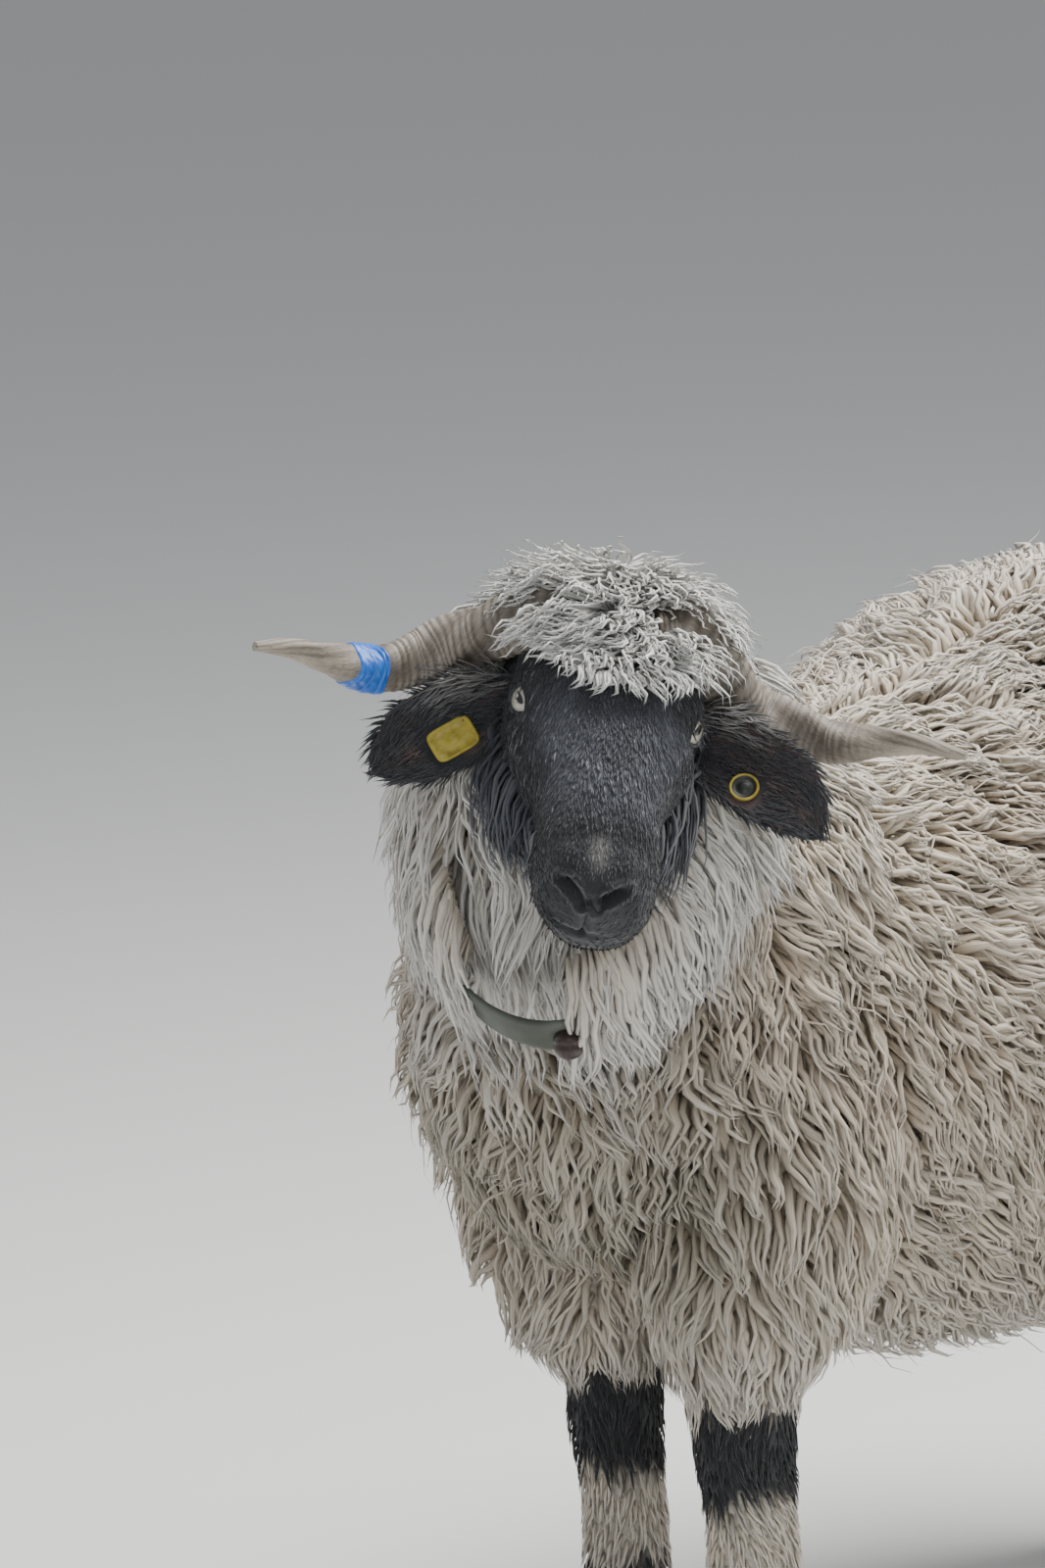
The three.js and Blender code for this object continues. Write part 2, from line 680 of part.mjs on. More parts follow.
// The mouth runs from corner to corner round the front of the muzzle
const MOUTH_CORNER = 110;
const MOUTH_FRONT = 153;
function mouthCut() {
  const places = [];
  const count = 5;
  for (const side of [-1, 1]) {
    for (let i = 0; i < count; i += 1) {
      const share = side < 0 ? i / count : 1 - i / count;
      const nose = MOUTH_CORNER + (MOUTH_FRONT - MOUTH_CORNER) * Math.sin((Math.PI / 2) * share);
      const crown = -46 - 10 * share;
      const half = headHalfAt(nose, crown) * (1 - share ** 4);
      places.push([side * half, nose, crown]);
    }
    if (side < 0) {
      places.push([0, MOUTH_FRONT + 1, -56]);
    }
  }
  return grooveBody(places, 1.6, 6);
}

// Each nostril is a slit that rises outwards from the middle of the nose
function nostrilCut(side) {
  const line = [[5, 158, -27], [10, 157, -22], [17, 153, -16], [23, 146, -11]];
  return grooveBody(line.map(([u, f, n]) => [side * u, f, n]), 2.8, 6);
}

// The lids are a thin cap over the eye with an almond-shaped slit
const LID_RADIUS = EYE_RADIUS + 2.4;
const SLIT_HALF_LONG = 12.5;
const SLIT_HALF_HIGH = 7;
function slitCut(eye) {
  const out = headDirection(eye.side * 0.86, 0.42, 0.28).normalize();
  const long = headDirection(eye.side * -0.38, 0.9, -0.2);
  long.addScaledVector(out, -long.dot(out)).normalize();
  const high = new THREE.Vector3().crossVectors(out, long).normalize();
  const rings = [EYE_RADIUS * 0.35, LID_RADIUS * 1.8].map((reach) => {
    const ring = [];
    for (let k = 0; k < 10; k += 1) {
      const angle = (2 * Math.PI * k) / 10;
      const c = Math.cos(angle);
      ring.push(eye.centre.clone().addScaledVector(out, reach)
        .addScaledVector(long, SLIT_HALF_LONG * c)
        .addScaledVector(high, SLIT_HALF_HIGH * Math.sin(angle) * (1 - 0.25 * c * c)));
    }
    return ring;
  });
  return solid(loft(rings));
}

// White wool on the poll and forehead, and below the cheeks: rows of [side, nose, width, height]
const crownTufts = [
  [-20, -86, 52, 24], [24, -84, 52, 24],
  [1, -54, 54, 28], [-28, -26, 40, 16], [29, -24, 40, 16], [1, -16, 44, 20],
];
const cheekTufts = [[-38, 60, 46], [-2, 52, 38]];
function headWool() {
  const tufts = [];
  for (const [side, nose, width, height] of crownTufts) {
    const [half, top, , widest] = headValues(nose);
    const crown = widest + (top - widest) * (1 - Math.min(Math.abs(side) / half, 1) ** 2.25) ** (1 / 2.25);
    const out = headDirection(side / 110, -0.25, 1).normalize();
    tufts.push(clump(onHead(side, nose, crown - 3), out, headNose, width, height));
  }
  for (const side of [-1, 1]) {
    for (const [nose, width, drop] of cheekTufts) {
      const crown = headValues(nose)[2] + 30;
      const half = headHalfAt(nose, crown);
      const out = headDirection(side * 0.85, -0.15, -0.5).normalize();
      tufts.push(clump(onHead(side * (half - 2), nose, crown), out, V(0, 0, -1), width, drop * 0.55));
    }
  }
  return tufts;
}

const eyes = [
  { name: 'eye_left', side: 1 },
  { name: 'eye_right', side: -1 },
];
const headRoom = headBody(20, 19, GAP);
const headParts = [headBody(20, 19), ...headWool()];
for (const eye of eyes) {
  eye.centre = onHead(eye.side * EYE_SIDE, 1, -1);
  headParts.push(ball(eye.centre, LID_RADIUS, 9, 6));
}
let head = joined(headParts).subtract(mouthCut());
for (const eye of eyes) {
  head = head.subtract(slitCut(eye)).subtract(nostrilCut(eye.side));
  head = head.subtract(ball(eye.centre, EYE_RADIUS + GAP + 0.3, 10, 7));
  addNode(eye.name, ball(eye.centre, EYE_RADIUS, 10, 7), EYE_PALE);
}
head = head.intersect(halfSpace(shifted(headCut, -GAP / 2), headCut.normal.clone().negate()));

// Horns: rows of [place, side, nose, crown, radius], side taken outwards
const hornShapes = [
  {
    name: 'horn_right',
    side: -1,
    rows: [
      [0, 22, -51, 30, 20],
      [0.12, 43, -50, 28.5, 20.5],
      [0.24, 74, -55, 12.6, 19.5],
      [0.37, 103, -51.4, -7.2, 18],
      [0.48, 126, -42, -18.3, 17],
      [0.6, 150, -28, -19.6, 15.5],
      [0.78, 189, -7.4, -3.6, 10],
      [0.9, 212, 2, 7.8, 7],
      [1, 237, 14.7, 13.6, 3],
    ],
  },
  {
    name: 'horn_left',
    side: 1,
    rows: [
      [0, 22, -51, 32, 20],
      [0.12, 41, -54, 33, 20.5],
      [0.24, 71, -51, 10, 19.5],
      [0.4, 108, -43, -17, 18],
      [0.58, 148, -32.5, -14, 15],
      [0.74, 180, -17.6, 2.2, 10.5],
      [0.88, 206, -8.2, 16, 7],
      [1, 235, 5.7, 24.4, 3],
    ],
  },
];
const HORN_AROUND = 8;
const HORN_RINGS = 11;
const HORN_SMOOTH = 8;            // steps along the smooth tip, 0.05 of the length each
const HORN_RINGED_TO = 0.6;       // the blue tape starts here on the right horn
const HORN_TURN = 400;           // degrees that the three edges turn over the length

function hornFrame(values, t) {
  const at = (s) => V(...values(clamp(s, 0, 1)).slice(0, 3));
  const along = at(t + 0.02).sub(at(t - 0.02)).normalize();
  const one = new THREE.Vector3().crossVectors(along, V(0, 0, 1)).normalize();
  const two = new THREE.Vector3().crossVectors(one, along).normalize();
  return { one, two };
}

function hornBody(shape, grow = 0, from = 0, to = 1, rings = 0) {
  const values = through(shape.rows);
  const places = [];
  if (rings > 0) {
    for (let i = 0; i <= rings; i += 1) {
      places.push([from + ((to - from) * i) / rings, 0]);
    }
  } else {
    for (let i = 0; i < HORN_RINGS; i += 1) {
      const t = (HORN_RINGED_TO * i) / HORN_RINGS;
      places.push([t, 0.035]);
      places.push([t + (0.6 * HORN_RINGED_TO) / HORN_RINGS, -0.035]);
    }
    for (let i = 0; i <= HORN_SMOOTH; i += 1) {
      places.push([HORN_RINGED_TO + ((1 - HORN_RINGED_TO) * i) / HORN_SMOOTH, 0]);
    }
  }
  const bodyRings = places.map(([t, ridge]) => {
    const [side, nose, crown, radius] = values(t);
    const { one, two } = hornFrame(values, t);
    const turn = rad(HORN_TURN) * t;
    const sharp = 0.2 * (1 - t * 0.7);
    const ring = [];
    for (let k = 0; k < HORN_AROUND; k += 1) {
      const angle = (2 * Math.PI * k) / HORN_AROUND;
      const r = radius * (1 + ridge + sharp * Math.cos(3 * angle)) + grow;
      const local = V(side, nose, crown)
        .addScaledVector(one, r * Math.cos(angle + turn))
        .addScaledVector(two, r * Math.sin(angle + turn));
      ring.push(onHead(shape.side * local.x, local.y, local.z));
    }
    return ring;
  });
  return solid(loft(bodyRings));
}

const TAPE_FROM = HORN_RINGED_TO;
const TAPE_TO = 0.7;
const TAPE_THICK = 1.2;
for (const shape of hornShapes) {
  if (shape.name === 'horn_right') {
    const wrapped = hornBody(shape, GAP + TAPE_THICK, TAPE_FROM, TAPE_TO, 2);
    const step = (TAPE_TO - TAPE_FROM) / 2;
    const room = hornBody(shape, GAP, TAPE_FROM - step, TAPE_TO + step, 4);
    addNode('horn_tape', wrapped.subtract(room), TAPE_BLUE);
  }
  // the horn stands on the skull's surface, short of it by the gap
  addNode(shape.name, hornBody(shape).subtract(headRoom), HORN_BROWN);
  head = head.subtract(hornBody(shape, GAP + 2.6, 0, 0.45, 8));
}

// Ears: rows of [place, half width, cup depth], from the root to the tip
const earShape = through([
  [0, 14, 12],
  [0.15, 22, 14],
  [0.35, 28, 12],
  [0.6, 28, 9],
  [0.8, 20, 6],
  [0.94, 10, 3],
  [1, 2, 1],
]);
const EAR_THICK = 3.4;
const EAR_ROOM = 0.5;             // more room at the root, where the cup curves most
const ears = [
  {
    name: 'ear_left',
    side: 1,
    path: through([[0, 46, -38, -36], [0.3, 84, -14, -24], [0.65, 122, 13, -26], [1, 153, 30, -46]]),
    tag: { place: 0.5, rimward: 0.5, kind: 'round' },
  },
  {
    name: 'ear_right',
    side: -1,
    path: through([[0, 52, -34, -26], [0.3, 84, -22, -38], [0.65, 116, -5, -58], [1, 140, 11, -76]]),
    tag: { place: 0.46, rimward: 0.4, kind: 'oblong' },
  },
];

function earFrame(ear, t) {
  const at = (s) => V(...ear.path(clamp(s, 0, 1)));
  const along = at(t + 0.02).sub(at(t - 0.02)).normalize();
  const faceHint = V(0.15, 0.72, 0.45);
  const across = new THREE.Vector3().crossVectors(faceHint, along).normalize();
  const face = new THREE.Vector3().crossVectors(along, across).normalize();
  return { at: at(t), along, across, face };
}

// A cupped leaf: the inner line of each section is hollow, and the rims come forward
function earBody(ear, grow = 0) {
  const rings = [];
  const along = 9;
  const around = 5;
  for (let i = 0; i <= along; i += 1) {
    const t = i / along;
    const [half, cup] = earShape(t);
    const { at, across, face } = earFrame(ear, t);
    const thick = Math.min(EAR_THICK, half * 0.7);
    const inner = [];
    const outer = [];
    for (let k = 0; k < around; k += 1) {
      const u = -1 + (2 * k) / (around - 1);
      const lift = cup * (u * u);
      const body = thick * (1 - 0.55 * u * u) + 2 * grow;
      const place = (depth) => {
        const p = at.clone().addScaledVector(across, (half + grow) * u)
          .addScaledVector(face, lift + depth);
        return onHead(ear.side * p.x, p.y, p.z);
      };
      inner.push(place(body / 2));
      outer.unshift(place(-body / 2));
    }
    rings.push([...inner, ...outer]);
  }
  return solid(loft(rings));
}

// A blank tag on the inner face of the ear, with a stud through it.
// It lies flat on the cup, rimward of the middle by a share of the half width.
function tagBody(ear, grow) {
  const level = earFrame(ear, ear.tag.place);
  const [half, cup] = earShape(ear.tag.place);
  const shareOut = ear.tag.rimward;
  const along = level.along;
  const across = level.across.clone().multiplyScalar(half)
    .addScaledVector(level.face, 2 * cup * shareOut).normalize();
  const face = new THREE.Vector3().crossVectors(along, across).normalize();
  const at = level.at.clone().addScaledVector(level.across, half * shareOut)
    .addScaledVector(level.face, cup * shareOut ** 2);
  const round = ear.tag.kind === 'round';
  const plateLow = EAR_THICK / 2 + 0.6;
  const place = (a, b, depth) => {
    const p = at.clone().addScaledVector(along, a).addScaledVector(across, b)
      .addScaledVector(face, depth);
    return onHead(ear.side * p.x, p.y, p.z);
  };
  const outline = (halfLong, halfWide, depth, corners) => {
    const ring = [];
    for (let k = 0; k < corners; k += 1) {
      const angle = (2 * Math.PI * (k + 0.5)) / corners;
      ring.push(place(halfLong * Math.cos(angle), halfWide * Math.sin(angle), depth));
    }
    return ring;
  };
  const corners = round ? 10 : 4;
  const long = round ? 10 : 16;
  const wide = round ? 10 : 12;
  const plate = solid(loft([
    outline(long + grow, wide + grow, plateLow - grow, corners),
    outline(long + grow, wide + grow, plateLow + 2.2 + grow, corners),
  ]));
  const stud = solid(loft([
    outline(3 + grow, 3 + grow, -8, 6),
    outline(3 + grow, 3 + grow, plateLow + 1, 6),
  ]));
  const back = solid(loft([
    outline(8 + grow, 8 + grow, -8 - grow, 8),
    outline(8 + grow, 8 + grow, -5.5 + grow, 8),
  ]));
  return joined([plate, stud, back]);
}

for (const ear of ears) {
  const tag = tagBody(ear, 0);
  addNode(ear.name.replace('ear', 'ear_tag'), tag, TAG_YELLOW);
  const cup = earBody(ear).subtract(tagBody(ear, GAP + 0.05)).subtract(headRoom);
  addNode(ear.name, cup, NOSE_BLACK);
  head = head.subtract(earBody(ear, GAP + EAR_ROOM));
}

addNode('head', head, NOSE_BLACK);

// Claws: two on each foot, on flat soles at floor level
function clawBody(footX, footY, side) {
  const rings = [];
  const levels = [[0, 1], [CORONET, 0.82]];
  for (const [height, size] of levels) {
    const ring = [];
    const around = 9;
    for (let k = 0; k < around; k += 1) {
      const angle = (2 * Math.PI * k) / around;
      const s = Math.sin(angle);
      const long = (CLAW_LENGTH / 2) * size;
      const wide = (CLAW_WIDTH / 2) * size;
      // the toe is narrower than the heel
      const narrow = s < 0 ? 1 - 0.45 * s * s : 1;
      ring.push(V(
        footX + side * (CLAW_WIDTH / 2 + 1) + wide * narrow * Math.cos(angle) - side * 3 * Math.max(0, -s),
        footY - 16 + long * s + height * 0.25,
        height,
      ));
    }
    rings.push(ring);
  }
  return solid(loft(rings));
}

for (const leg of legs) {
  for (const [word, side] of [['outer', leg.side], ['inner', -leg.side]]) {
    addNode(`claw_${leg.name.replace('leg', '')}_${word}`, clawBody(leg.x, leg.y, side), CLAW_DARK);
  }
}

// The origin is the middle of the bounding box at floor level
const box = new THREE.Box3().setFromObject(group);
group.position.set(-(box.min.x + box.max.x) / 2, -(box.min.y + box.max.y) / 2, -box.min.z);

export default group;
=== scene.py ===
"""Valais blacknose sheep, an adult ewe that stands with its head turned to its left.

Lengths are in millimetres in the animal's own frame, where it faces -Y with its left side at +X,
and world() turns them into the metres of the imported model.
"""

import math

import bpy
import numpy as np
from mathutils import Matrix, Vector, kdtree

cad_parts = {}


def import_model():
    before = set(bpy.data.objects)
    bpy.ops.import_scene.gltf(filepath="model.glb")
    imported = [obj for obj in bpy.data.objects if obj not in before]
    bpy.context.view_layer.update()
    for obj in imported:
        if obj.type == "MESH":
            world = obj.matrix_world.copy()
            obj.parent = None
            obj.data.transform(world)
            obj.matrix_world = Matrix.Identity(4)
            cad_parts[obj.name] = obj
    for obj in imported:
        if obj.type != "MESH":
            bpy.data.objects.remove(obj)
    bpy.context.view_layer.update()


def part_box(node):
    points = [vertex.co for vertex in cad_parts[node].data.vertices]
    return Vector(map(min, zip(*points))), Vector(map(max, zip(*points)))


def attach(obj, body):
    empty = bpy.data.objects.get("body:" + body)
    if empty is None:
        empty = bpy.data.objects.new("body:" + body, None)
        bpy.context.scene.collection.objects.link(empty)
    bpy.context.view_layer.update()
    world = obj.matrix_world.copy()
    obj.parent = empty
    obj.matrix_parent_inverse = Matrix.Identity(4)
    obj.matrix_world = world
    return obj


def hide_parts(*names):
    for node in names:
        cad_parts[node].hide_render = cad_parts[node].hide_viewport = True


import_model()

# Dimensions that the CAD source has too
CORE_DEPTH = 27.0
TAIL_DEPTH = 14.0
FORE_TRACK, HIND_TRACK = 70.0, 88.0
FORE_Y_LEFT, FORE_Y_RIGHT = -331.0, -291.0
HIND_Y_LEFT, HIND_Y_RIGHT = 352.0, 318.0
CORONET = 30.0
CLAW_LENGTH, CLAW_WIDTH = 62.0, 25.0
EYE_MIDDLE = np.array([172.7, -579.6, 783.4])
HEAD_TURN, HEAD_DOWN, HEAD_TILT = 33.3, 30.1, 16.5
MUZZLE_TWIST = 6.0
EYE_RADIUS = 13.0
EYE_PLACE = (50.5, 1.0, -1.0)

FULL_TURN = 2 * math.pi


def unit(v):
    v = np.asarray(v, float)
    return v / np.maximum(np.linalg.norm(v, axis=-1, keepdims=True), 1e-9)


def dot(a, b):
    return np.sum(np.asarray(a) * np.asarray(b), axis=-1)


def smoothstep(x, low, high):
    s = np.clip((np.asarray(x, float) - low) / (high - low), 0, 1)
    return s * s * (3 - 2 * s)


def band(x, low, full, fading, gone):
    """1 from full to fading, and 0 below low and above gone."""
    return smoothstep(x, low, full) * (1 - smoothstep(x, fading, gone))


def hump(x, middle, width):
    """1 at the middle, and less and less on both sides of it."""
    return np.exp(-(((x - middle) / width) ** 2))


def change(at, x, step, low=-math.inf, high=math.inf):
    """How much at(x) changes from one step before x to one step after it, within those ends."""
    return at(np.clip(x + step, low, high)) - at(np.clip(x - step, low, high))


def mix(a, b, share):
    share = np.asarray(share, float)[..., None]
    return np.asarray(a) * (1 - share) + np.asarray(b) * share


def ring_angles(count):
    return np.arange(count) * 2 * math.pi / count


def ring_grid(places, count):
    """Grids of the places along a form and of the angles round each of their rings."""
    return np.meshgrid(places, ring_angles(count), indexing="ij")


def bowed(x, fullness):
    """A cosine or sine for a ring of that fullness: 2 gives an ellipse, and more is squarer."""
    return np.sign(x) * np.abs(x) ** (2 / fullness)


# Head frame: side is the animal's left, nose runs from poll to nose, crown is out of the forehead
turn, down, tilt = (math.radians(x) for x in (HEAD_TURN, HEAD_DOWN, HEAD_TILT))
HEAD_NOSE = np.array([math.sin(turn) * math.cos(down), -math.cos(turn) * math.cos(down), -math.sin(down)])
LEVEL_SIDE = np.array([math.cos(turn), math.sin(turn), 0.0])
LEVEL_CROWN = np.cross(HEAD_NOSE, LEVEL_SIDE)
HEAD_SIDE = LEVEL_SIDE * math.cos(tilt) - LEVEL_CROWN * math.sin(tilt)
HEAD_CROWN = LEVEL_CROWN * math.cos(tilt) + LEVEL_SIDE * math.sin(tilt)
HEAD_AXES = np.array([HEAD_SIDE, HEAD_NOSE, HEAD_CROWN])


def head_direction(local):
    return np.asarray(local, float) @ HEAD_AXES


def on_head(local):
    return EYE_MIDDLE + head_direction(local)


def in_head(points):
    return (np.asarray(points, float) - EYE_MIDDLE) @ HEAD_AXES.T


eye_low, eye_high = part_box("eye_left")
SHIFT = np.array((eye_low + eye_high) / 2) - on_head(EYE_PLACE) * 0.001


def world(points):
    return np.asarray(points, float) * 0.001 + SHIFT


def from_world(points):
    return (np.array(points) - SHIFT) * 1000


def noise(points, size, seed=0):
    """Smooth noise from -1 to 1 at points, with features of that size."""
    q = np.asarray(points, float) / size + 512.37 + 3.1 * seed
    cell = np.floor(q).astype(np.int64)
    f = q - cell
    f = f * f * (3 - 2 * f)
    total = np.zeros(len(q))
    for corner in range(8):
        step = np.array([corner & 1, (corner >> 1) & 1, corner >> 2])
        place = cell + step
        n = (place[:, 0] * 73856093) ^ (place[:, 1] * 19349663) ^ (place[:, 2] * 83492791) ^ (seed * 2654435)
        n = ((n & 0x7FFFFFFF) * 1103515245 + 12345) & 0x7FFFFFFF
        n = ((n ^ (n >> 13)) * 127412617) & 0x7FFFFFFF
        share = np.prod(np.where(step == 1, f, 1 - f), axis=1)
        total += share * (n / 0x3FFFFFFF - 1)
    return total


def through(rows):
    """Smooth curve through the rows of a table with no overshoot; each row is [place, value ...]."""
    rows = np.array(rows, float)
    places, values = rows[:, 0], rows[:, 1:]
    secants = np.diff(values, axis=0) / np.diff(places)[:, None]
    slopes = np.zeros_like(values)
    slopes[0], slopes[-1] = secants[0], secants[-1]
    product = secants[:-1] * secants[1:]
    total = np.where(product > 0, secants[:-1] + secants[1:], 1)
    slopes[1:-1] = np.where(product > 0, 2 * product / total, 0)

    def at(place):
        place = np.clip(np.asarray(place, float), places[0], places[-1])
        i = np.clip(np.searchsorted(places, place, side="left") - 1, 0, len(places) - 2)
        span = (places[i + 1] - places[i])[..., None]
        s = (place - places[i])[..., None] / span
        blend = s * s * (3 - 2 * s)
        return (
            values[i]
            + (values[i + 1] - values[i]) * blend
            + slopes[i] * span * s * (1 - s) ** 2
            - slopes[i + 1] * span * s * s * (1 - s)
        )

    return at


class Form:
    """A form along a path: rows of [place, x, y, z, side radius, rise radius], as in the CAD source."""

    def __init__(self, rows, hint, fullness=2.2):
        self.values = through(rows)
        self.start, self.end = float(rows[0][0]), float(rows[-1][0])
        self.hint = np.array(hint, float)
        self.fullness = fullness

    def frame(self, t):
        step = (self.end - self.start) / 400
        along = unit(change(self.values, t, step, self.start, self.end)[..., :3])
        rise = unit(np.cross(along, self.hint))
        side = unit(np.cross(rise, along))
        return along, rise, side

    def point(self, t, angle, depth=0.0):
        t, angle = np.broadcast_arrays(np.asarray(t, float), np.asarray(angle, float))
        v = self.values(t)
        _, rise, side = self.frame(t)
        across = np.maximum(v[..., 3] - depth, 1) * bowed(np.cos(angle), self.fullness)
        up = np.maximum(v[..., 4] - depth, 1) * bowed(np.sin(angle), self.fullness)
        return v[..., :3] + side * across[..., None] + rise * up[..., None]

    def normal(self, t, angle, depth=0.0):
        nudge = (self.end - self.start) / 200
        ahead = change(lambda x: self.point(x, angle, depth), t, nudge, self.start, self.end)
        around = change(lambda x: self.point(t, x, depth), angle, 0.05)
        out = unit(np.cross(around, ahead))
        outward = dot(out, self.point(t, angle, depth) - self.values(t)[..., :3])
        return out * np.where(outward < 0, -1, 1)[..., None]

    def holds(self, points, depth, samples=70):
        """Which points lie inside the form, taken this depth under its outline."""
        ts = np.linspace(self.start, self.end, samples)
        v = self.values(ts)
        along, rise, side = self.frame(ts)
        step = np.linalg.norm(np.diff(v[:, :3], axis=0), axis=1).max()
        inside = np.zeros(len(points), bool)
        for i in range(samples):
            rel = points - v[i, :3]
            x = np.abs(rel @ side[i]) / max(v[i, 3] - depth(ts[i]), 1)
            y = np.abs(rel @ rise[i]) / max(v[i, 4] - depth(ts[i]), 1)
            near = np.abs(rel @ along[i]) < step * 0.7
            inside |= near & (x ** self.fullness + y ** self.fullness < 1)
        return inside

    def rings(self, along, around, depth):
        grid_t, grid_a = ring_grid(np.linspace(self.start, self.end, along + 1), around)
        return self.point(grid_t, grid_a, depth(grid_t))


# Rows of [place along the back, top, bottom, half width]
torso_rows = [
    [-492, 526, 508, 8], [-484, 590, 448, 68], [-455, 642, 402, 120], [-410, 680, 365, 160],
    [-350, 708, 336, 184], [-260, 714, 302, 198], [-170, 708, 260, 210], [-60, 712, 237, 228],
    [60, 730, 230, 243], [170, 762, 240, 250], [260, 775, 276, 246], [340, 766, 338, 230],
    [400, 740, 410, 200], [440, 710, 482, 160], [464, 668, 556, 100], [474, 622, 604, 8],
]
CHEST_INSET = 0.955  # how far the skin reaches to the chest and the rump, as a share of the wool's reach
BODY_FULLNESS = 2.1
torso = Form([
    [y, 0, y * CHEST_INSET, (top + bottom) / 2, half, (top - bottom) / 2]
    for y, top, bottom, half in torso_rows
], (1, 0, 0), BODY_FULLNESS)
NECK_ACROSS = np.array([0.9, 0.43, 0])
neck = Form([
    [0, 0, -250, 570, 150, 140], [0.25, 6, -330, 605, 172, 165], [0.5, 24, -402, 652, 142, 146],
    [0.75, 55, -462, 706, 120, 130], [1, 104, -508, 760, 112, 118],
], NECK_ACROSS, BODY_FULLNESS)
# Rows of [place, outwards, back, up, side radius, rise radius] from the leg's own place on the floor
fore_rows = [
    [0, 22, 26, 520, 92, 110], [0.2, 22, 8, 440, 96, 106], [0.38, 14, -2, 365, 80, 88],
    [0.5, 4, -3, 310, 52, 60], [0.6, 0, -3, 270, 36, 41], [0.7, 0, -4, 232, 33, 37],
    [0.8, 0, 0, 175, 29, 31], [0.9, 0, 0, 110, 30, 32], [0.96, 0, -4, 70, 35, 38],
    [1, 0, -10, 30.3, 29, 36],
]
hind_rows = [
    [0, 24, -92, 560, 98, 138], [0.2, 24, -72, 460, 98, 134], [0.36, 18, -26, 375, 76, 104],
    [0.48, 8, 34, 318, 45, 62], [0.56, 3, 52, 278, 34, 43], [0.66, 0, 44, 226, 29, 33],
    [0.78, 0, 30, 160, 27, 29], [0.89, 0, 18, 105, 30, 32], [0.96, 0, 4, 68, 35, 38],
    [1, 0, -8, 30.3, 29, 36],
]
tail = Form([
    [0, 0, 415, 672, 40, 30], [0.15, 0, 458, 652, 48, 36], [0.35, 0, 486, 600, 52, 38],
    [0.7, 2, 494, 510, 48, 36], [0.92, 3, 490, 450, 34, 27], [1, 3, 488, 428, 8, 8],
], (1, 0, 0))
legs = []
# From this place down, the right foreleg's width is this share of the solid's
SLIM_FROM, FORE_RIGHT_SLIM = 0.5, 0.88
for name, rows, x, y, side in (
    ("fore_left", fore_rows, FORE_TRACK, FORE_Y_LEFT, 1),
    ("fore_right", fore_rows, -FORE_TRACK, FORE_Y_RIGHT, -1),
    ("hind_left", hind_rows, HIND_TRACK, HIND_Y_LEFT, 1),
    ("hind_right", hind_rows, -HIND_TRACK, HIND_Y_RIGHT, -1),
):
    placed = []
    for t, dx, dy, z, wide, deep in rows:
        slim = FORE_RIGHT_SLIM if name == "fore_right" and t > SLIM_FROM else 1
        placed.append([t, x + side * dx, y + dy, z, wide * slim, deep])
    form = Form(placed, (1, 0, 0), BODY_FULLNESS)
    legs.append({"name": name, "x": x, "y": y, "side": side, "form": form})


def trunk_depth(t):
    return CORE_DEPTH + 0 * np.asarray(t, float)


def leg_depth(t):
    return 1.5 + 18.5 * (1 - smoothstep(t, 0.3, 0.6))


def tail_depth(t):
    return TAIL_DEPTH + 0 * np.asarray(t, float)


# Meshes


def new_object(name, mesh, material=None):
    piece = bpy.data.objects.new(name, mesh)
    bpy.context.scene.collection.objects.link(piece)
    if material:
        mesh.materials.append(material)
    return piece


ATTRIBUTE_KEYS = {"FLOAT_COLOR": "color", "FLOAT_VECTOR": "vector"}


def point_attribute(mesh, name, kind, values):
    layer = mesh.attributes.new(name, kind, "POINT")
    layer.data.foreach_set(ATTRIBUTE_KEYS[kind], np.asarray(values, np.float32).ravel())


def colour_attribute(mesh, colours):
    full = np.ones((len(colours), 4))
    full[:, :3] = colours
    point_attribute(mesh, "Col", "FLOAT_COLOR", full)


def triangles(name, points, faces):
    mesh = bpy.data.meshes.new(name)
    mesh.vertices.add(len(points))
    mesh.vertices.foreach_set("co", world(points).astype(np.float32).ravel())
    mesh.loops.add(len(faces) * 3)
    mesh.loops.foreach_set("vertex_index", faces.astype(np.int32).ravel())
    mesh.polygons.add(len(faces))
    mesh.polygons.foreach_set("loop_start", np.arange(0, len(faces) * 3, 3, dtype=np.int32))
    mesh.update(calc_edges=True)
    mesh.shade_smooth()
    return mesh


def loft_faces(rings, around, ends=True):
    """Quads between rings of points, and a fan of triangles over each end."""
    r, k = np.meshgrid(np.arange(rings - 1), np.arange(around), indexing="ij")
    a = r * around + k
    b = r * around + (k + 1) % around
    quads = np.stack([a, b, b + around, a + around], -1).reshape(-1, 4).tolist()
    if ends:
        first, last = rings * around, rings * around + 1
        base = (rings - 1) * around
        quads += [[(i + 1) % around, i, first] for i in range(around)]
        quads += [[base + i, base + (i + 1) % around, last] for i in range(around)]
    return quads


def capped(rings):
    """The points of rings (rings, around, 3), and a middle point for each end."""
    return np.concatenate([rings.reshape(-1, 3), [rings[0].mean(0)], [rings[-1].mean(0)]])


def solid(name, points, faces):
    """A smooth mesh from points in millimetres, with its faces turned outwards."""
    mesh = bpy.data.meshes.new(name)
    mesh.from_pydata(world(points).tolist(), [], faces)
    if signed_volume(mesh) < 0:
        mesh.flip_normals()
    mesh.update()
    mesh.shade_smooth()
    return mesh


def loft(name, rings):
    """A closed body from rings of points (rings, around, 3)."""
    return solid(name, capped(rings), loft_faces(*rings.shape[:2]))


def vertices_of(mesh):
    co = np.zeros(len(mesh.vertices) * 3)
    mesh.vertices.foreach_get("co", co)
    return co.reshape(-1, 3)


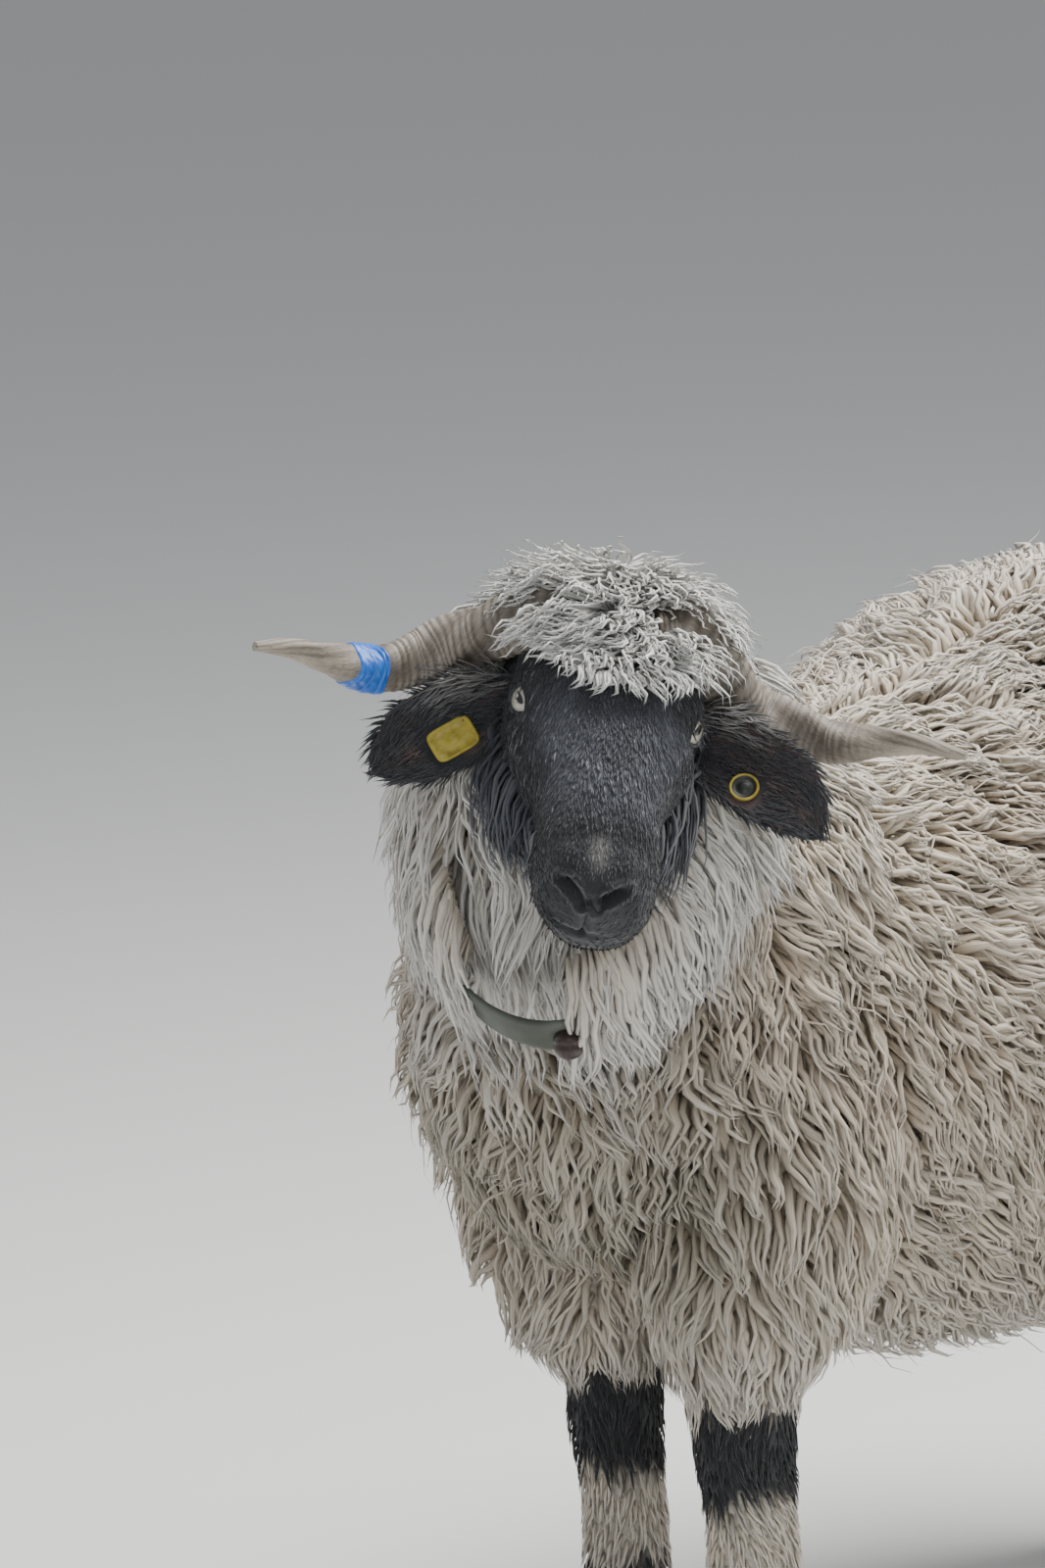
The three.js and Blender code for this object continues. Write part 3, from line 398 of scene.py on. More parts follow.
def signed_volume(mesh):
    """A multiple of the mesh's volume, less than zero where its faces look inwards."""
    mesh.calc_loop_triangles()
    index = np.zeros(len(mesh.loop_triangles) * 3, np.int32)
    mesh.loop_triangles.foreach_get("vertices", index)
    corners = vertices_of(mesh)[index.reshape(-1, 3)]
    return float(np.sum(corners[:, 0] * np.cross(corners[:, 1], corners[:, 2])))


def stands_for(piece, *nodes):
    """The piece rides on the one body and replaces those nodes of the solid model."""
    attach(piece, "root")
    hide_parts(*nodes)


def applied(piece):
    """The piece's mesh with its modifiers worked in, in place of its own."""
    graph = bpy.context.evaluated_depsgraph_get()
    mesh = bpy.data.meshes.new_from_object(piece.evaluated_get(graph))
    piece.modifiers.clear()
    piece.data = mesh
    return mesh


# Materials


def new_material(name, roughness, sheen=0.0, specular=0.5, coat=0.0):
    material = bpy.data.materials.new(name)
    material.use_nodes = True
    shader = material.node_tree.nodes["Principled BSDF"]
    shader.inputs["Roughness"].default_value = roughness
    shader.inputs["Sheen Weight"].default_value = sheen
    shader.inputs["Sheen Roughness"].default_value = 0.6
    shader.inputs["Specular IOR Level"].default_value = specular
    shader.inputs["Coat Weight"].default_value = coat
    shader.inputs["Coat Roughness"].default_value = 0.05
    return material, material.node_tree, shader


def node(tree, kind, **settings):
    made = tree.nodes.new(kind)
    for key, value in settings.items():
        if key in made.inputs:
            made.inputs[key].default_value = value
        else:
            setattr(made, key, value)
    return made


def stretched(tree, source, scale):
    """Coordinates from a vertex attribute, or the object's own where source is None."""
    mapping = node(tree, "ShaderNodeMapping", Scale=scale)
    if source:
        origin = node(tree, "ShaderNodeAttribute", attribute_name=source).outputs["Vector"]
    else:
        origin = node(tree, "ShaderNodeTexCoord").outputs["Object"]
    tree.links.new(origin, mapping.inputs["Vector"])
    return mapping.outputs["Vector"]


def texture(tree, kind, source, scale, **settings):
    """A texture node on the coordinates that stretched() gives."""
    made = node(tree, kind, **settings)
    tree.links.new(stretched(tree, source, scale), made.inputs["Vector"])
    return made


def own_colours(tree):
    """The colours that the mesh carries."""
    return node(tree, "ShaderNodeAttribute", attribute_name="Col").outputs["Color"]


def ramp(tree, factor, stops):
    made = node(tree, "ShaderNodeValToRGB")
    elements = made.color_ramp.elements
    while len(elements) < len(stops):
        elements.new(0.5)
    for element, (place, colour) in zip(elements, stops):
        element.position = place
        element.color = (*colour, 1)
    tree.links.new(factor, made.inputs["Fac"])
    return made.outputs["Color"]


def multiply(tree, a, b, share=1.0):
    made = node(tree, "ShaderNodeMix", data_type="RGBA", blend_type="MULTIPLY")
    made.inputs[0].default_value = share
    tree.links.new(a, made.inputs[6])
    tree.links.new(b, made.inputs[7])
    return made.outputs[2]


def bump(tree, shader, height, strength, distance, below=None):
    made = node(tree, "ShaderNodeBump", Strength=strength, Distance=distance)
    tree.links.new(height, made.inputs["Height"])
    if below:
        tree.links.new(below, made.inputs["Normal"])
    tree.links.new(made.outputs["Normal"], shader.inputs["Normal"])
    return made.outputs["Normal"]


UNSTRETCHED = (1, 1, 1)


def grained_material(name, finish, source, scale, grain, stops, relief, carries_colours=False):
    """A material with one noise in its colour and its bump, over the mesh's colours if it carries any.

    finish holds the values for new_material(), grain those of the noise, and relief the strength and
    the distance of the bump.
    """
    material, tree, shader = new_material(name, **finish)
    factor = texture(tree, "ShaderNodeTexNoise", source, scale, **grain).outputs["Fac"]
    tone = ramp(tree, factor, stops)
    if carries_colours:
        tone = multiply(tree, own_colours(tree), tone)
    tree.links.new(tone, shader.inputs["Base Color"])
    bump(tree, shader, factor, *relief)
    return material


def hair_material(name, slot, dark, light, strands, sheen, strength):
    """Fine strands that run along each tuft, over the colours that the tufts carry, returned with the slot
    name that it is given, which is not used.
    """
    made = grained_material(
        name, dict(roughness=0.82, sheen=sheen, specular=0.25),
        "strand", (strands, 0.035, 1.0), dict(Scale=1.0, Detail=3.0, Roughness=0.65),
        [(0.25, (dark,) * 3), (0.7, (light,) * 3)], (strength, 0.0012), carries_colours=True,
    )
    shader = made.node_tree.nodes["Principled BSDF"]
    shader.inputs["Sheen Tint"].default_value = (0.95, 0.93, 0.9, 1)
    return made, slot


def make_skin_material():
    """The colours that the skin carries, with a fine grain and pores."""
    material, tree, shader = new_material("skin_and_short_fur", 0.8, sheen=0.3, specular=0.3)
    grain = texture(tree, "ShaderNodeTexNoise", None, UNSTRETCHED, Scale=420.0, Detail=5.0, Roughness=0.7)
    tone = ramp(tree, grain.outputs["Fac"], [(0.3, (0.6,) * 3), (0.7, (1.15,) * 3)])
    tree.links.new(multiply(tree, own_colours(tree), tone), shader.inputs["Base Color"])
    grain_bump = bump(tree, shader, grain.outputs["Fac"], 0.5, 0.0012)
    pores = texture(tree, "ShaderNodeTexVoronoi", None, UNSTRETCHED, Scale=900.0)
    bump(tree, shader, pores.outputs["Distance"], 0.25, 0.0006, grain_bump)
    return material


FLEECE = hair_material(
    "fleece_hair", "fleece", dark=0.6, light=1.12, strands=1.1, sheen=0.2, strength=1.0,
)
WHITE_WOOL = hair_material(
    "white_hair", "white_wool", dark=0.68, light=1.08, strands=1.1, sheen=0.2, strength=0.9,
)
BLACK_HAIR = hair_material(
    "black_hair", "black_hair", dark=0.55, light=1.15, strands=2.2, sheen=0.3, strength=0.6,
)
skin_material = make_skin_material()

# Colours of the coat: the share of red, green and blue light that comes back
WHITE = np.array([0.84, 0.82, 0.78])
CREAM = np.array([0.74, 0.65, 0.51])
TAN = np.array([0.54, 0.41, 0.28])
# greenish grey of real dirt mixed with painted shade, for the chest and the belly
DIRT_AND_SHADE = np.array([0.30, 0.28, 0.20])
BLACK = np.array([0.018, 0.020, 0.026])
SLATE = np.array([0.075, 0.083, 0.105])
PINK = np.array([0.16, 0.095, 0.085])


def cap_share(local):
    """How far a place on the head belongs to the white cap between the horns."""
    u, f, n = local.T
    ragged = 4 * noise(local, 9, 5)
    half = 16 + 30 * smoothstep(-f, -14, 34) + 40 * smoothstep(-f, 60, 84)
    front = 1 - smoothstep(f + 0.12 * np.abs(u) + ragged, 2, 12)
    inside = 1 - smoothstep(np.abs(u) + ragged, half - 5, half + 4)
    low = np.where(f < -60, -60, -6)
    return front * inside * smoothstep(n, low, low + 16)


def leg_black(points):
    """Black knees, hocks and boots, with ragged edges."""
    z = points[:, 2] + 11 * noise(points, 16, 3) + 8 * noise(points, 6, 5)
    fore = points[:, 1] < 0
    boot = 1 - smoothstep(z, np.where(fore, 126, 122), np.where(fore, 138, 134))
    low = np.where(fore, 196, 232)
    high = np.where(fore, 268, 296)
    joint = band(z, low - 5, low + 7, high - 6, high + 6)
    return np.maximum(boot, joint)


def head_colour(points):
    local = in_head(points)
    u, f, n = local.T
    shade = 0.25 + 0.3 * noise(points, 26, 8) + 0.2 * noise(points, 7, 9)
    bridge = band(f, -10, 40, 112, 140) * smoothstep(n, -10, 18)
    rim = hump(np.abs(u), 34, 14.0) * bridge
    lips = smoothstep(f, 100, 140)
    share = np.clip(shade + 0.30 * bridge + 0.35 * rim - 0.6 * lips, 0, 1)
    near_eye = np.exp(-((np.abs(u) - 52) ** 2 + (f - 2) ** 2 + (n + 1) ** 2) / 380.0)
    share = np.clip(share - 0.8 * near_eye, 0, 1)
    face = mix(mix(BLACK, SLATE, share), BLACK * 0.7, 0.65 * lips)
    patch = np.exp(-((u / 7) ** 2 + ((f - 138) / 9) ** 2)) * (n > -30)
    face = mix(face, WHITE * 0.4, 0.55 * patch)
    return mix(face, WHITE, cap_share(local))


def wool_colour(points):
    """The fleece: cream with tan drifts, white round the neck, whiter along the top of the back as painted
    light from above, dirt mixed with painted shade on the chest and under the belly, black points.
    """
    x, y, z = points.T
    drift = 0.32 + 0.35 * noise(points, 90, 1) + 0.3 * noise(points, 24, 2)
    colour = mix(CREAM, TAN, np.clip(drift - 0.1, 0, 0.85))
    ruff = smoothstep(-y, 395, 470) * smoothstep(z, 480, 570)
    # painted light: the top of the back is whitened where light from above falls on it
    painted_top_light = smoothstep(z, 600, 740)
    colour = mix(colour, WHITE, np.clip(0.9 * ruff + 0.45 * painted_top_light, 0, 1))
    # painted shade mixed with real dirt: the chest and the underside of the belly are darkened towards a
    # greenish grey
    chest = smoothstep(-y, 300, 420) * (1 - smoothstep(np.abs(z - 400), 40, 150))
    below = 1 - smoothstep(z, 250, 340)
    dirt_and_shade = (0.8 * chest + 0.6 * below) * (0.6 + 0.5 * noise(points, 40, 4))
    colour = mix(colour, DIRT_AND_SHADE, np.clip(dirt_and_shade, 0, 0.8))
    legs_white = 1 - smoothstep(z, 300, 400)
    near_leg = np.abs(np.abs(x) - 80) < 70
    colour = mix(colour, mix(WHITE, CREAM, 0.4), 0.6 * legs_white * near_leg)
    colour = mix(colour, BLACK, leg_black(points) * (z < 300) * ((y < -240) | (y > 250)))
    tail_spot = (y > 455) * smoothstep(-np.abs(z - 640), -26, -10) * (np.abs(x) < 26)
    return mix(colour, BLACK, tail_spot)


# Skin: one surface for the body, legs, tail, head and ears
# Rows of [nose, half width, top, bottom, widest], the last three as heights towards the crown
head_rows = [
    [-104, 8, -8, -24, -14], [-96, 44, 18, -52, -14], [-78, 57, 33, -78, -14], [-50, 63, 39, -92, -16],
    [-25, 62, 40, -90, -14], [0, 61, 39, -80, -10], [20, 58, 36, -76, -14], [40, 54, 33, -70, -18],
    [60, 48, 30, -63, -20], [80, 42, 25, -59, -20], [100, 40, 19, -61, -20], [118, 41, 12, -72, -26],
    [132, 39, 4, -84, -32], [144, 33, -4, -78, -36], [152, 25, -11, -64, -36], [157, 14, -19, -48, -33],
    [159.5, 3, -28, -36, -32],
]
head_values = through(head_rows)
HEAD_START, HEAD_END = -104.0, 159.5
HEAD_FULL = 2.25
HEAD_MIDDLE = -22  # height of the head's middle line towards the crown


def head_section(nose, angle):
    nose, angle = np.broadcast_arrays(np.asarray(nose, float), np.asarray(angle, float))
    half, top, bottom, widest = np.moveaxis(head_values(nose), -1, 0)
    s = np.sin(angle)
    side = half * bowed(np.cos(angle), HEAD_FULL)
    crown = widest + np.where(s > 0, top - widest, widest - bottom) * bowed(s, HEAD_FULL)
    twist = math.radians(MUZZLE_TWIST) * smoothstep(nose, 60, 150)
    return np.stack([side - crown * np.sin(twist), nose, crown * np.cos(twist)], -1)


def head_half_at(nose, crown):
    half, top, bottom, widest = head_values(np.array(nose, float))
    reach = top - widest if crown > widest else widest - bottom
    return half * (1 - min(abs(crown - widest) / reach, 1) ** HEAD_FULL) ** (1 / HEAD_FULL)


def dense(line, count=60):
    line = np.array(line, float)
    places = np.linspace(0, len(line) - 1, count)
    i = np.minimum(places.astype(int), len(line) - 2)
    f = (places - i)[:, None]
    return line[i] * (1 - f) + line[i + 1] * f


def near_line(points, line):
    """Distance from each point to a dense line, and the place along it from 0 to 1."""
    best = np.full(len(points), 1e9)
    place = np.zeros(len(points))
    for i, p in enumerate(line):
        d = np.linalg.norm(points - p, axis=1)
        closer = d < best
        best[closer] = d[closer]
        place[closer] = i / (len(line) - 1)
    return best, place


mouth_line = []
for share in np.linspace(0, 1, 7):
    nose = 110 + 43 * math.sin(math.pi / 2 * share)
    crown = -46 - 10 * share
    mouth_line.append([head_half_at(nose, crown) * (1 - share ** 4), nose, crown])
mouth_line = [[-u, f, n] for u, f, n in mouth_line[:-1]] + [[0, 154, -56]] + mouth_line[:-1][::-1]
nostril_line = np.array([
    [4.5, 160, -31], [7, 159.5, -27], [10.5, 158, -23],
    [14.5, 155.5, -20], [18.5, 152, -18], [20.5, 149, -19],
])
philtrum_line = [[0, 160, -30], [0, 159, -38], [0, 157, -46], [0, 155, -55]]

# Soft swellings and hollows of the head: middle (side, nose, crown), spread, height; both sides alike
head_relief = [
    ((50, -8, 15), (15, 17, 8), 3.6),
    ((44, -26, 24), (16, 18, 12), 2.5),
    ((56, 22, -22), (14, 16, 12), 2.4),
    ((47, 42, -6), (12, 20, 9), -3.6),
    ((43, 62, 14), (9, 34, 9), 2.2),
    ((30, 40, 33), (12, 36, 10), 1.6),
    ((46, 84, -26), (12, 26, 14), -2.4),
    ((60, -4, -52), (16, 30, 24), 5.0),
    ((56, 30, -56), (14, 26, 16), 3.0),
    ((24, 146, -4), (9, 10, 7), 4.2),
    ((14, 157, -14), (7, 7, 4), 2.4),
    ((26, 143, -42), (12, 12, 13), 3.6),
    ((9, 155, -44), (6, 8, 8), 1.8),
    ((0, 150, -68), (18, 10, 7), 3.0),
    ((0, 136, -84), (18, 16, 10), 2.0),
    ((33, 128, -22), (8, 10, 8), -2.0),
    ((20, 20, 38), (10, 30, 10), -0.8),
]
EYE_OUT = unit(np.array([0.80, 0.47, 0.37]))
EYE_LONG = np.array([-0.38, 0.9, -0.2])
EYE_LONG = unit(EYE_LONG - EYE_OUT * dot(EYE_LONG, EYE_OUT))
EYE_HIGH = np.cross(EYE_OUT, EYE_LONG)
if EYE_HIGH[2] < 0:
    EYE_HIGH = -EYE_HIGH
SLIT_LONG, SLIT_HIGH = 10.5, 6.3
LID_REACH, LID_THICK = 34, 1.7


def mirrored(places, side):
    """Places or a direction (side, nose, crown) as they are on that side of the head."""
    return np.asarray(places, float) * np.array([side, 1, 1])


def groove(distance, depth, width, lip, lip_place, lip_width):
    """Height across a groove of that depth, with a raised lip beside it."""
    return lip * hump(distance, lip_place, lip_width) - depth * hump(distance, 0, width)


def relief_height(p):
    """How far the head's swellings, mouth and nostrils stand off its smooth form."""
    height = np.zeros(len(p))
    for middle, spread, rise in head_relief:
        for side in (1, -1) if middle[0] else (1,):
            away = (p - mirrored(middle, side)) / np.array(spread)
            height += rise * np.exp(-dot(away, away))
    height += 0.5 * noise(p, 17, 11) + 0.25 * noise(p, 6, 12)
    d, place = near_line(p, dense(mouth_line, 120))
    fade = np.sin(math.pi * np.clip(place, 0.02, 0.98)) ** 0.4
    height += fade * groove(d, 4.2, 1.5, 1.5, 5.5, 3.2)
    d, _ = near_line(p, dense(philtrum_line, 30))
    height += groove(d, 2.6, 1.3, 0.8, 4, 2)
    for side in (1, -1):
        d, place = near_line(p, dense(mirrored(nostril_line, side), 40))
        wide = 2.0 + 1.4 * np.sin(math.pi * place)
        height += groove(d, 7.5, wide, 1.5, wide + 3.4, 2.1)
    return height


def with_lids(p, side):
    """Places near one eye drawn on to its lids, and those in its slit to behind the eyeball."""
    eye = mirrored(EYE_PLACE, side)
    face, long, high = (mirrored(v, side) for v in (EYE_OUT, EYE_LONG, EYE_HIGH))
    rel = p - eye
    reach = np.linalg.norm(rel, axis=1)
    near = (rel @ face > 0) & (reach < LID_REACH)
    a = rel @ long / SLIT_LONG
    almond = np.sqrt(a ** 2 + (rel @ high / (SLIT_HIGH * (1 - 0.25 * np.clip(a, -1, 1) ** 2))) ** 2)
    lid = EYE_RADIUS + LID_THICK
    rim = 1.1 * hump(almond, 1.22, 0.16) - 0.8 * hump(almond, 1.75, 0.2)
    target = np.where(almond < 1, EYE_RADIUS * 0.82, lid + rim)
    new = reach + (target - reach) * hump(np.maximum(almond, 1), 1, 0.85)
    new = np.where(almond >= 1, np.maximum(new, lid - 0.6), new)
    moved = eye + rel / np.maximum(reach, 1e-6)[:, None] * new[:, None]
    return np.where(near[:, None], moved, p)


def shape_head(local):
    """The head's relief over its smooth form, for places (side, nose, crown) on a grid (rings, around, 3)."""
    along = np.gradient(local, axis=0)
    around = np.roll(local, -1, axis=1) - np.roll(local, 1, axis=1)
    out = unit(np.cross(around, along))
    flip = dot(out, (local - [0, 0, HEAD_MIDDLE]) * [1, 0, 1])
    out = out * np.where(flip < 0, -1, 1)[..., None]
    p = local.reshape(-1, 3)
    p = p + out.reshape(-1, 3) * relief_height(p)[:, None]
    for side in (1, -1):
        p = with_lids(p, side)
    return p.reshape(local.shape)


def head_grid(along=310, around=270):
    i = np.linspace(0, 1, along + 1)
    share = 0.5 - 0.5 * np.cos(math.pi * i)
    nose = HEAD_START + (HEAD_END - HEAD_START) * (0.45 * share + 0.55 * i)
    grid_f, grid_a = ring_grid(nose, around)
    return on_head(shape_head(head_section(grid_f, grid_a)))


# Ears: rows of [place, half width, cup depth], and the middle line (side outwards, nose, crown)
ear_shape = through([
    [0, 14, 12], [0.15, 22, 14], [0.35, 28, 12], [0.6, 28, 9], [0.8, 20, 6], [0.94, 10, 3], [1, 2, 1],
])
EAR_THICK = 3.4
EAR_FACE_HINT = np.array([0.15, 0.72, 0.45])
ears = [
    {"name": "left", "side": 1, "tag": (0.5, 0.5), "path": through([
        [0, 46, -38, -36], [0.3, 84, -14, -24], [0.65, 122, 13, -26], [1, 153, 30, -46],
    ])},
    {"name": "right", "side": -1, "tag": (0.46, 0.4), "path": through([
        [0, 52, -34, -26], [0.3, 84, -22, -38], [0.65, 116, -5, -58], [1, 140, 11, -76],
    ])},
]


def ear_frame(ear, t):
    t = np.asarray(t, float)
    at = ear["path"](t)
    along = unit(change(ear["path"], t, 0.02, 0, 1))
    across = unit(np.cross(EAR_FACE_HINT + 0 * along, along))
    face = unit(np.cross(along, across))
    return at, along, across, face


def tag_frame(ear):
    """The tag's place on the cup, rimward of the middle, and its axes: along, sideways and face."""
    place, rimward = ear["tag"]
    half, cup = ear_shape(np.array(place))
    at, along, across, face = ear_frame(ear, np.array(place))
    sideways = unit(across * half + face * 2 * cup * rimward)
    place = at + across * half * rimward + face * cup * rimward ** 2
    return place, along, sideways, unit(np.cross(along, sideways))


def ear_point(ear, t, u, depth):
    """A place on the ear: t from root to tip, u from rim to rim, depth above its middle sheet."""
    t, u = np.broadcast_arrays(np.asarray(t, float), np.asarray(u, float))
    half, cup = np.moveaxis(ear_shape(t), -1, 0)
    at, _, across, face = ear_frame(ear, t)
    lift = cup * u * u + depth
    p = at + across * (half * u)[..., None] + face * lift[..., None]
    return on_head(mirrored(p, ear["side"]))


def ear_thick(t, u):
    half = ear_shape(t)[..., 0]
    return np.minimum(EAR_THICK, half * 0.7) * (1 - 0.55 * np.asarray(u) ** 2)


def ear_grid(ear, along=90, across=36):
    t = np.linspace(0, 1, along + 1)[:, None]
    u = np.cos(np.linspace(math.pi, 0, across + 1))[None, :]
    ridges = 0.5 * np.sin(u * 9 + 1.5) * smoothstep(t, 0.1, 0.3) * (1 - smoothstep(t, 0.7, 0.95))
    inner = ear_point(ear, t, u, ear_thick(t, u) / 2 + ridges)
    outer = ear_point(ear, t, u, -ear_thick(t, u) / 2)[:, ::-1]
    return np.concatenate([inner, outer], axis=1)


# The body's forms run into one another and make one skin, and then the head and the ears are joined to it
SKIN_VOXEL = 0.007
SKIN_SMOOTHINGS = 4
parts = [torso.rings(90, 72, trunk_depth), neck.rings(30, 56, trunk_depth), tail.rings(30, 28, tail_depth)]
parts += [leg["form"].rings(80, 36, leg_depth) for leg in legs]
body_points, body_faces, count = [], [], 0
for rings in parts:
    body_points.append(capped(rings))
    body_faces += [[i + count for i in face] for face in loft_faces(*rings.shape[:2])]
    count += len(body_points[-1])
mesh = bpy.data.meshes.new("skin")
mesh.from_pydata(world(np.concatenate(body_points)).tolist(), [], body_faces)
skin = new_object("skin", mesh, skin_material)
remesh = skin.modifiers.new("remesh", "REMESH")
remesh.mode = "VOXEL"
remesh.voxel_size = SKIN_VOXEL
smooth = skin.modifiers.new("smooth", "SMOOTH")
smooth.iterations = SKIN_SMOOTHINGS
applied(skin)

extras = [new_object("head_form", loft("head_form", head_grid()))]
extras += [new_object("ear_form", loft("ear_form", ear_grid(ear))) for ear in ears]
for extra in extras:
    union = skin.modifiers.new("union", "BOOLEAN")
    union.operation = "UNION"
    union.solver = "MANIFOLD"
    union.object = extra
applied(skin)
for extra in extras:
    bpy.data.objects.remove(extra)
skin.data.materials.clear()
skin.data.materials.append(skin_material)
skin.data.polygons.foreach_set("material_index", np.zeros(len(skin.data.polygons), np.int32))
skin.data.shade_smooth()

HEAD_REACH, FACE_START, SNOUT_END = 78, -70, 175


def is_head(points):
    side, nose, crown = in_head(points).T
    from_middle = np.hypot(side, crown - HEAD_MIDDLE)
    return (nose > FACE_START) & (from_middle < HEAD_REACH) & (nose < SNOUT_END)


def ear_share(points, margin=4):
    """Which places lie on one of the ears."""
    local = in_head(points)
    found = np.zeros(len(points), bool)
    for ear in ears:
        mine = mirrored(local, ear["side"])
        for t in np.linspace(0.02, 0.98, 25):
            half, cup = ear_shape(np.array(t))
            at, along, across, face = ear_frame(ear, np.array(t))
            rel = mine - at
            u = rel @ across / half
            off = rel @ face - cup * u * u
            found |= (np.abs(rel @ along) < margin) & (np.abs(u) < 1.1) & (np.abs(off) < margin)
    return found


def skin_colour(points):
    """Markings of the skin, the same as those of the coat over it, with the body's skin a quarter darker as
    painted shade under the coat.
    """
    # painted shade: the body's skin under the coat is darker than the coat itself
    colour = wool_colour(points) * 0.75
    colour = np.where(is_head(points)[:, None], head_colour(points), colour)
    inner = np.clip(0.2 + 0.5 * noise(points, 15, 6), 0, 0.5)
    return np.where(ear_share(points)[:, None], mix(BLACK, PINK, inner), colour)


colour_attribute(skin.data, skin_colour(from_world(vertices_of(skin.data))))
stands_for(
    skin, "head", "neck", "torso_front", "torso_middle", "torso_rear", "tail", "ear_left", "ear_right",
    "foreleg_left", "foreleg_right", "hindleg_left", "hindleg_right",
    "foreshank_left", "foreshank_right", "hindshank_left", "hindshank_right",
)

# Horns: rows of [place, side outwards, nose, crown, radius]
horn_shapes = [
    {"name": "horn_right", "side": -1, "rows": [
        [0, 22, -51, 30, 20], [0.12, 43, -50, 28.5, 20.5], [0.24, 74, -55, 12.6, 19.5],
        [0.37, 103, -51.4, -7.2, 18], [0.48, 126, -42, -18.3, 17], [0.6, 150, -28, -19.6, 15.5],
        [0.78, 189, -7.4, -3.6, 10], [0.9, 212, 2, 7.8, 7], [1, 237, 14.7, 13.6, 3],
    ]},
    {"name": "horn_left", "side": 1, "rows": [
        [0, 22, -51, 32, 20], [0.12, 41, -54, 33, 20.5], [0.24, 71, -51, 10, 19.5],
        [0.4, 108, -43, -17, 18], [0.58, 148, -32.5, -14, 15], [0.74, 180, -17.6, 2.2, 10.5],
        [0.88, 206, -8.2, 16, 7], [1, 235, 5.7, 24.4, 3],
    ]},
]
HORN_TURN = 400.0
TAPE_FROM, TAPE_TO = 0.6, 0.7
RIDGES = 44


def grid_noise(x, y, z, seed):
    """Smooth noise over grids of coordinates, with features of size 1."""
    return noise(np.stack([x, y, z], -1).reshape(-1, 3), 1.0, seed).reshape(x.shape)


def horn_surface(shape, t, angle, grow=0.0):
    """Places on a horn for grids of place and angle, and the height of its ring ridges there."""
    values = through(shape["rows"])
    v = values(t)
    along = unit(change(values, t, 0.02, 0, 1)[..., :3])
    one = unit(np.cross(along, np.array([0, 0, 1.0]) + 0 * along))
    two = unit(np.cross(one, along))
    spin = np.radians(HORN_TURN) * t
    sharp = 0.2 * (1 - t * 0.7)
    edge = 0.5 + 0.5 * np.cos(3 * angle)
    warp = 0.006 * np.sin(2 * angle + 3) + 0.008 * grid_noise(t * 40, angle * 0, angle * 0 + 1, 7)
    wave = 0.5 + 0.5 * np.sin(2 * math.pi * RIDGES * (t + warp))
    ridge = (wave ** 0.7) * (1 - smoothstep(t, 0.55, 0.86)) * (0.35 + 0.65 * edge)
    r = v[..., 3] * (1 + sharp * np.cos(3 * angle) + 0.055 * (ridge - 0.5)) + grow
    local = v[..., :3] + one * (r * np.cos(angle + spin))[..., None]
    local = local + two * (r * np.sin(angle + spin))[..., None]
    return on_head(mirrored(local, shape["side"])), ridge


horn_material = grained_material(
    "horn_keratin", dict(roughness=0.55, specular=0.4),
    "strand", (60.0, 9.0, 1.0), dict(Scale=1.0, Detail=6.0, Roughness=0.65),
    [(0.3, (0.55, 0.5, 0.46)), (0.52, (0.95, 0.93, 0.9)), (0.75, (1.15, 1.12, 1.05))],
    (0.5, 0.0009), carries_colours=True,
)
HORN_PALE = np.array([0.33, 0.30, 0.26])
HORN_GREY = np.array([0.14, 0.12, 0.10])
HORN_IVORY = np.array([0.50, 0.45, 0.37])
HORN_RINGS, HORN_AROUND = 330, 42


def horn_colour(points, ridge, t, angle):
    """Grey furrows and pale ridges, and an ivory tip with grey streaks."""
    edge = 0.5 + 0.5 * np.cos(3 * angle)
    mottle = 0.3 * noise(points.reshape(-1, 3), 9, 13).reshape(t.shape)
    ridged = mix(HORN_GREY, HORN_PALE, np.clip(ridge * 0.9 + mottle + 0.25 * edge, 0, 1))
    streak = np.clip(0.75 + 0.9 * grid_noise(angle * 3, t * 4, t * 0, 14), 0, 1)
    return mix(ridged, mix(HORN_GREY, HORN_IVORY, streak), smoothstep(t, 0.62, 0.9))


def for_loft(values):
    """Values on a grid of rings as a list, with one more for the middle point of each end."""
    flat = values.reshape(-1, 3)
    return np.concatenate([flat, flat[:1], flat[-1:]])


for shape in horn_shapes:
    t, angle = ring_grid(np.linspace(0, 1, HORN_RINGS), HORN_AROUND)
    points, ridge = horn_surface(shape, t, angle)
    horn = new_object(shape["name"] + "_form", loft(shape["name"], points), horn_material)
    colour_attribute(horn.data, for_loft(horn_colour(points, ridge, t, angle)))
    strand = np.stack([angle / FULL_TURN, t * 6, t * 0 + 0.5], -1)
    point_attribute(horn.data, "strand", "FLOAT_VECTOR", for_loft(strand))
    stands_for(horn, shape["name"])

# Tape: three laps of blue tape round the right horn, a little crumpled
tape_material = grained_material(
    "blue_tape", dict(roughness=0.35, specular=0.5), None, UNSTRETCHED, dict(Scale=90.0, Detail=4.0),
    [(0.35, (0.01, 0.11, 0.50)), (0.7, (0.03, 0.20, 0.72))], (0.35, 0.0012),
)
TAPE_SUNK, TAPE_LAPS = 1.2, 3
t, angle = ring_grid(np.linspace(TAPE_FROM, TAPE_TO, 46), 72)
lap = np.abs(((t - TAPE_FROM) / (TAPE_TO - TAPE_FROM) * TAPE_LAPS + angle / FULL_TURN) % 1 - 0.5)
thick = 0.5 + 0.7 * smoothstep(lap, 0.05, 0.12)
edge_in = band(t, TAPE_FROM, TAPE_FROM + 0.003, TAPE_TO - 0.003, TAPE_TO)
crumple = 0.2 * np.sin(angle * 11 + t * 260)
tape_points, _ = horn_surface(horn_shapes[0], t, angle, -TAPE_SUNK + edge_in * (TAPE_SUNK + thick + crumple))
tape = new_object("tape_wrap", loft("tape_wrap", tape_points), tape_material)
stands_for(tape, "horn_tape")


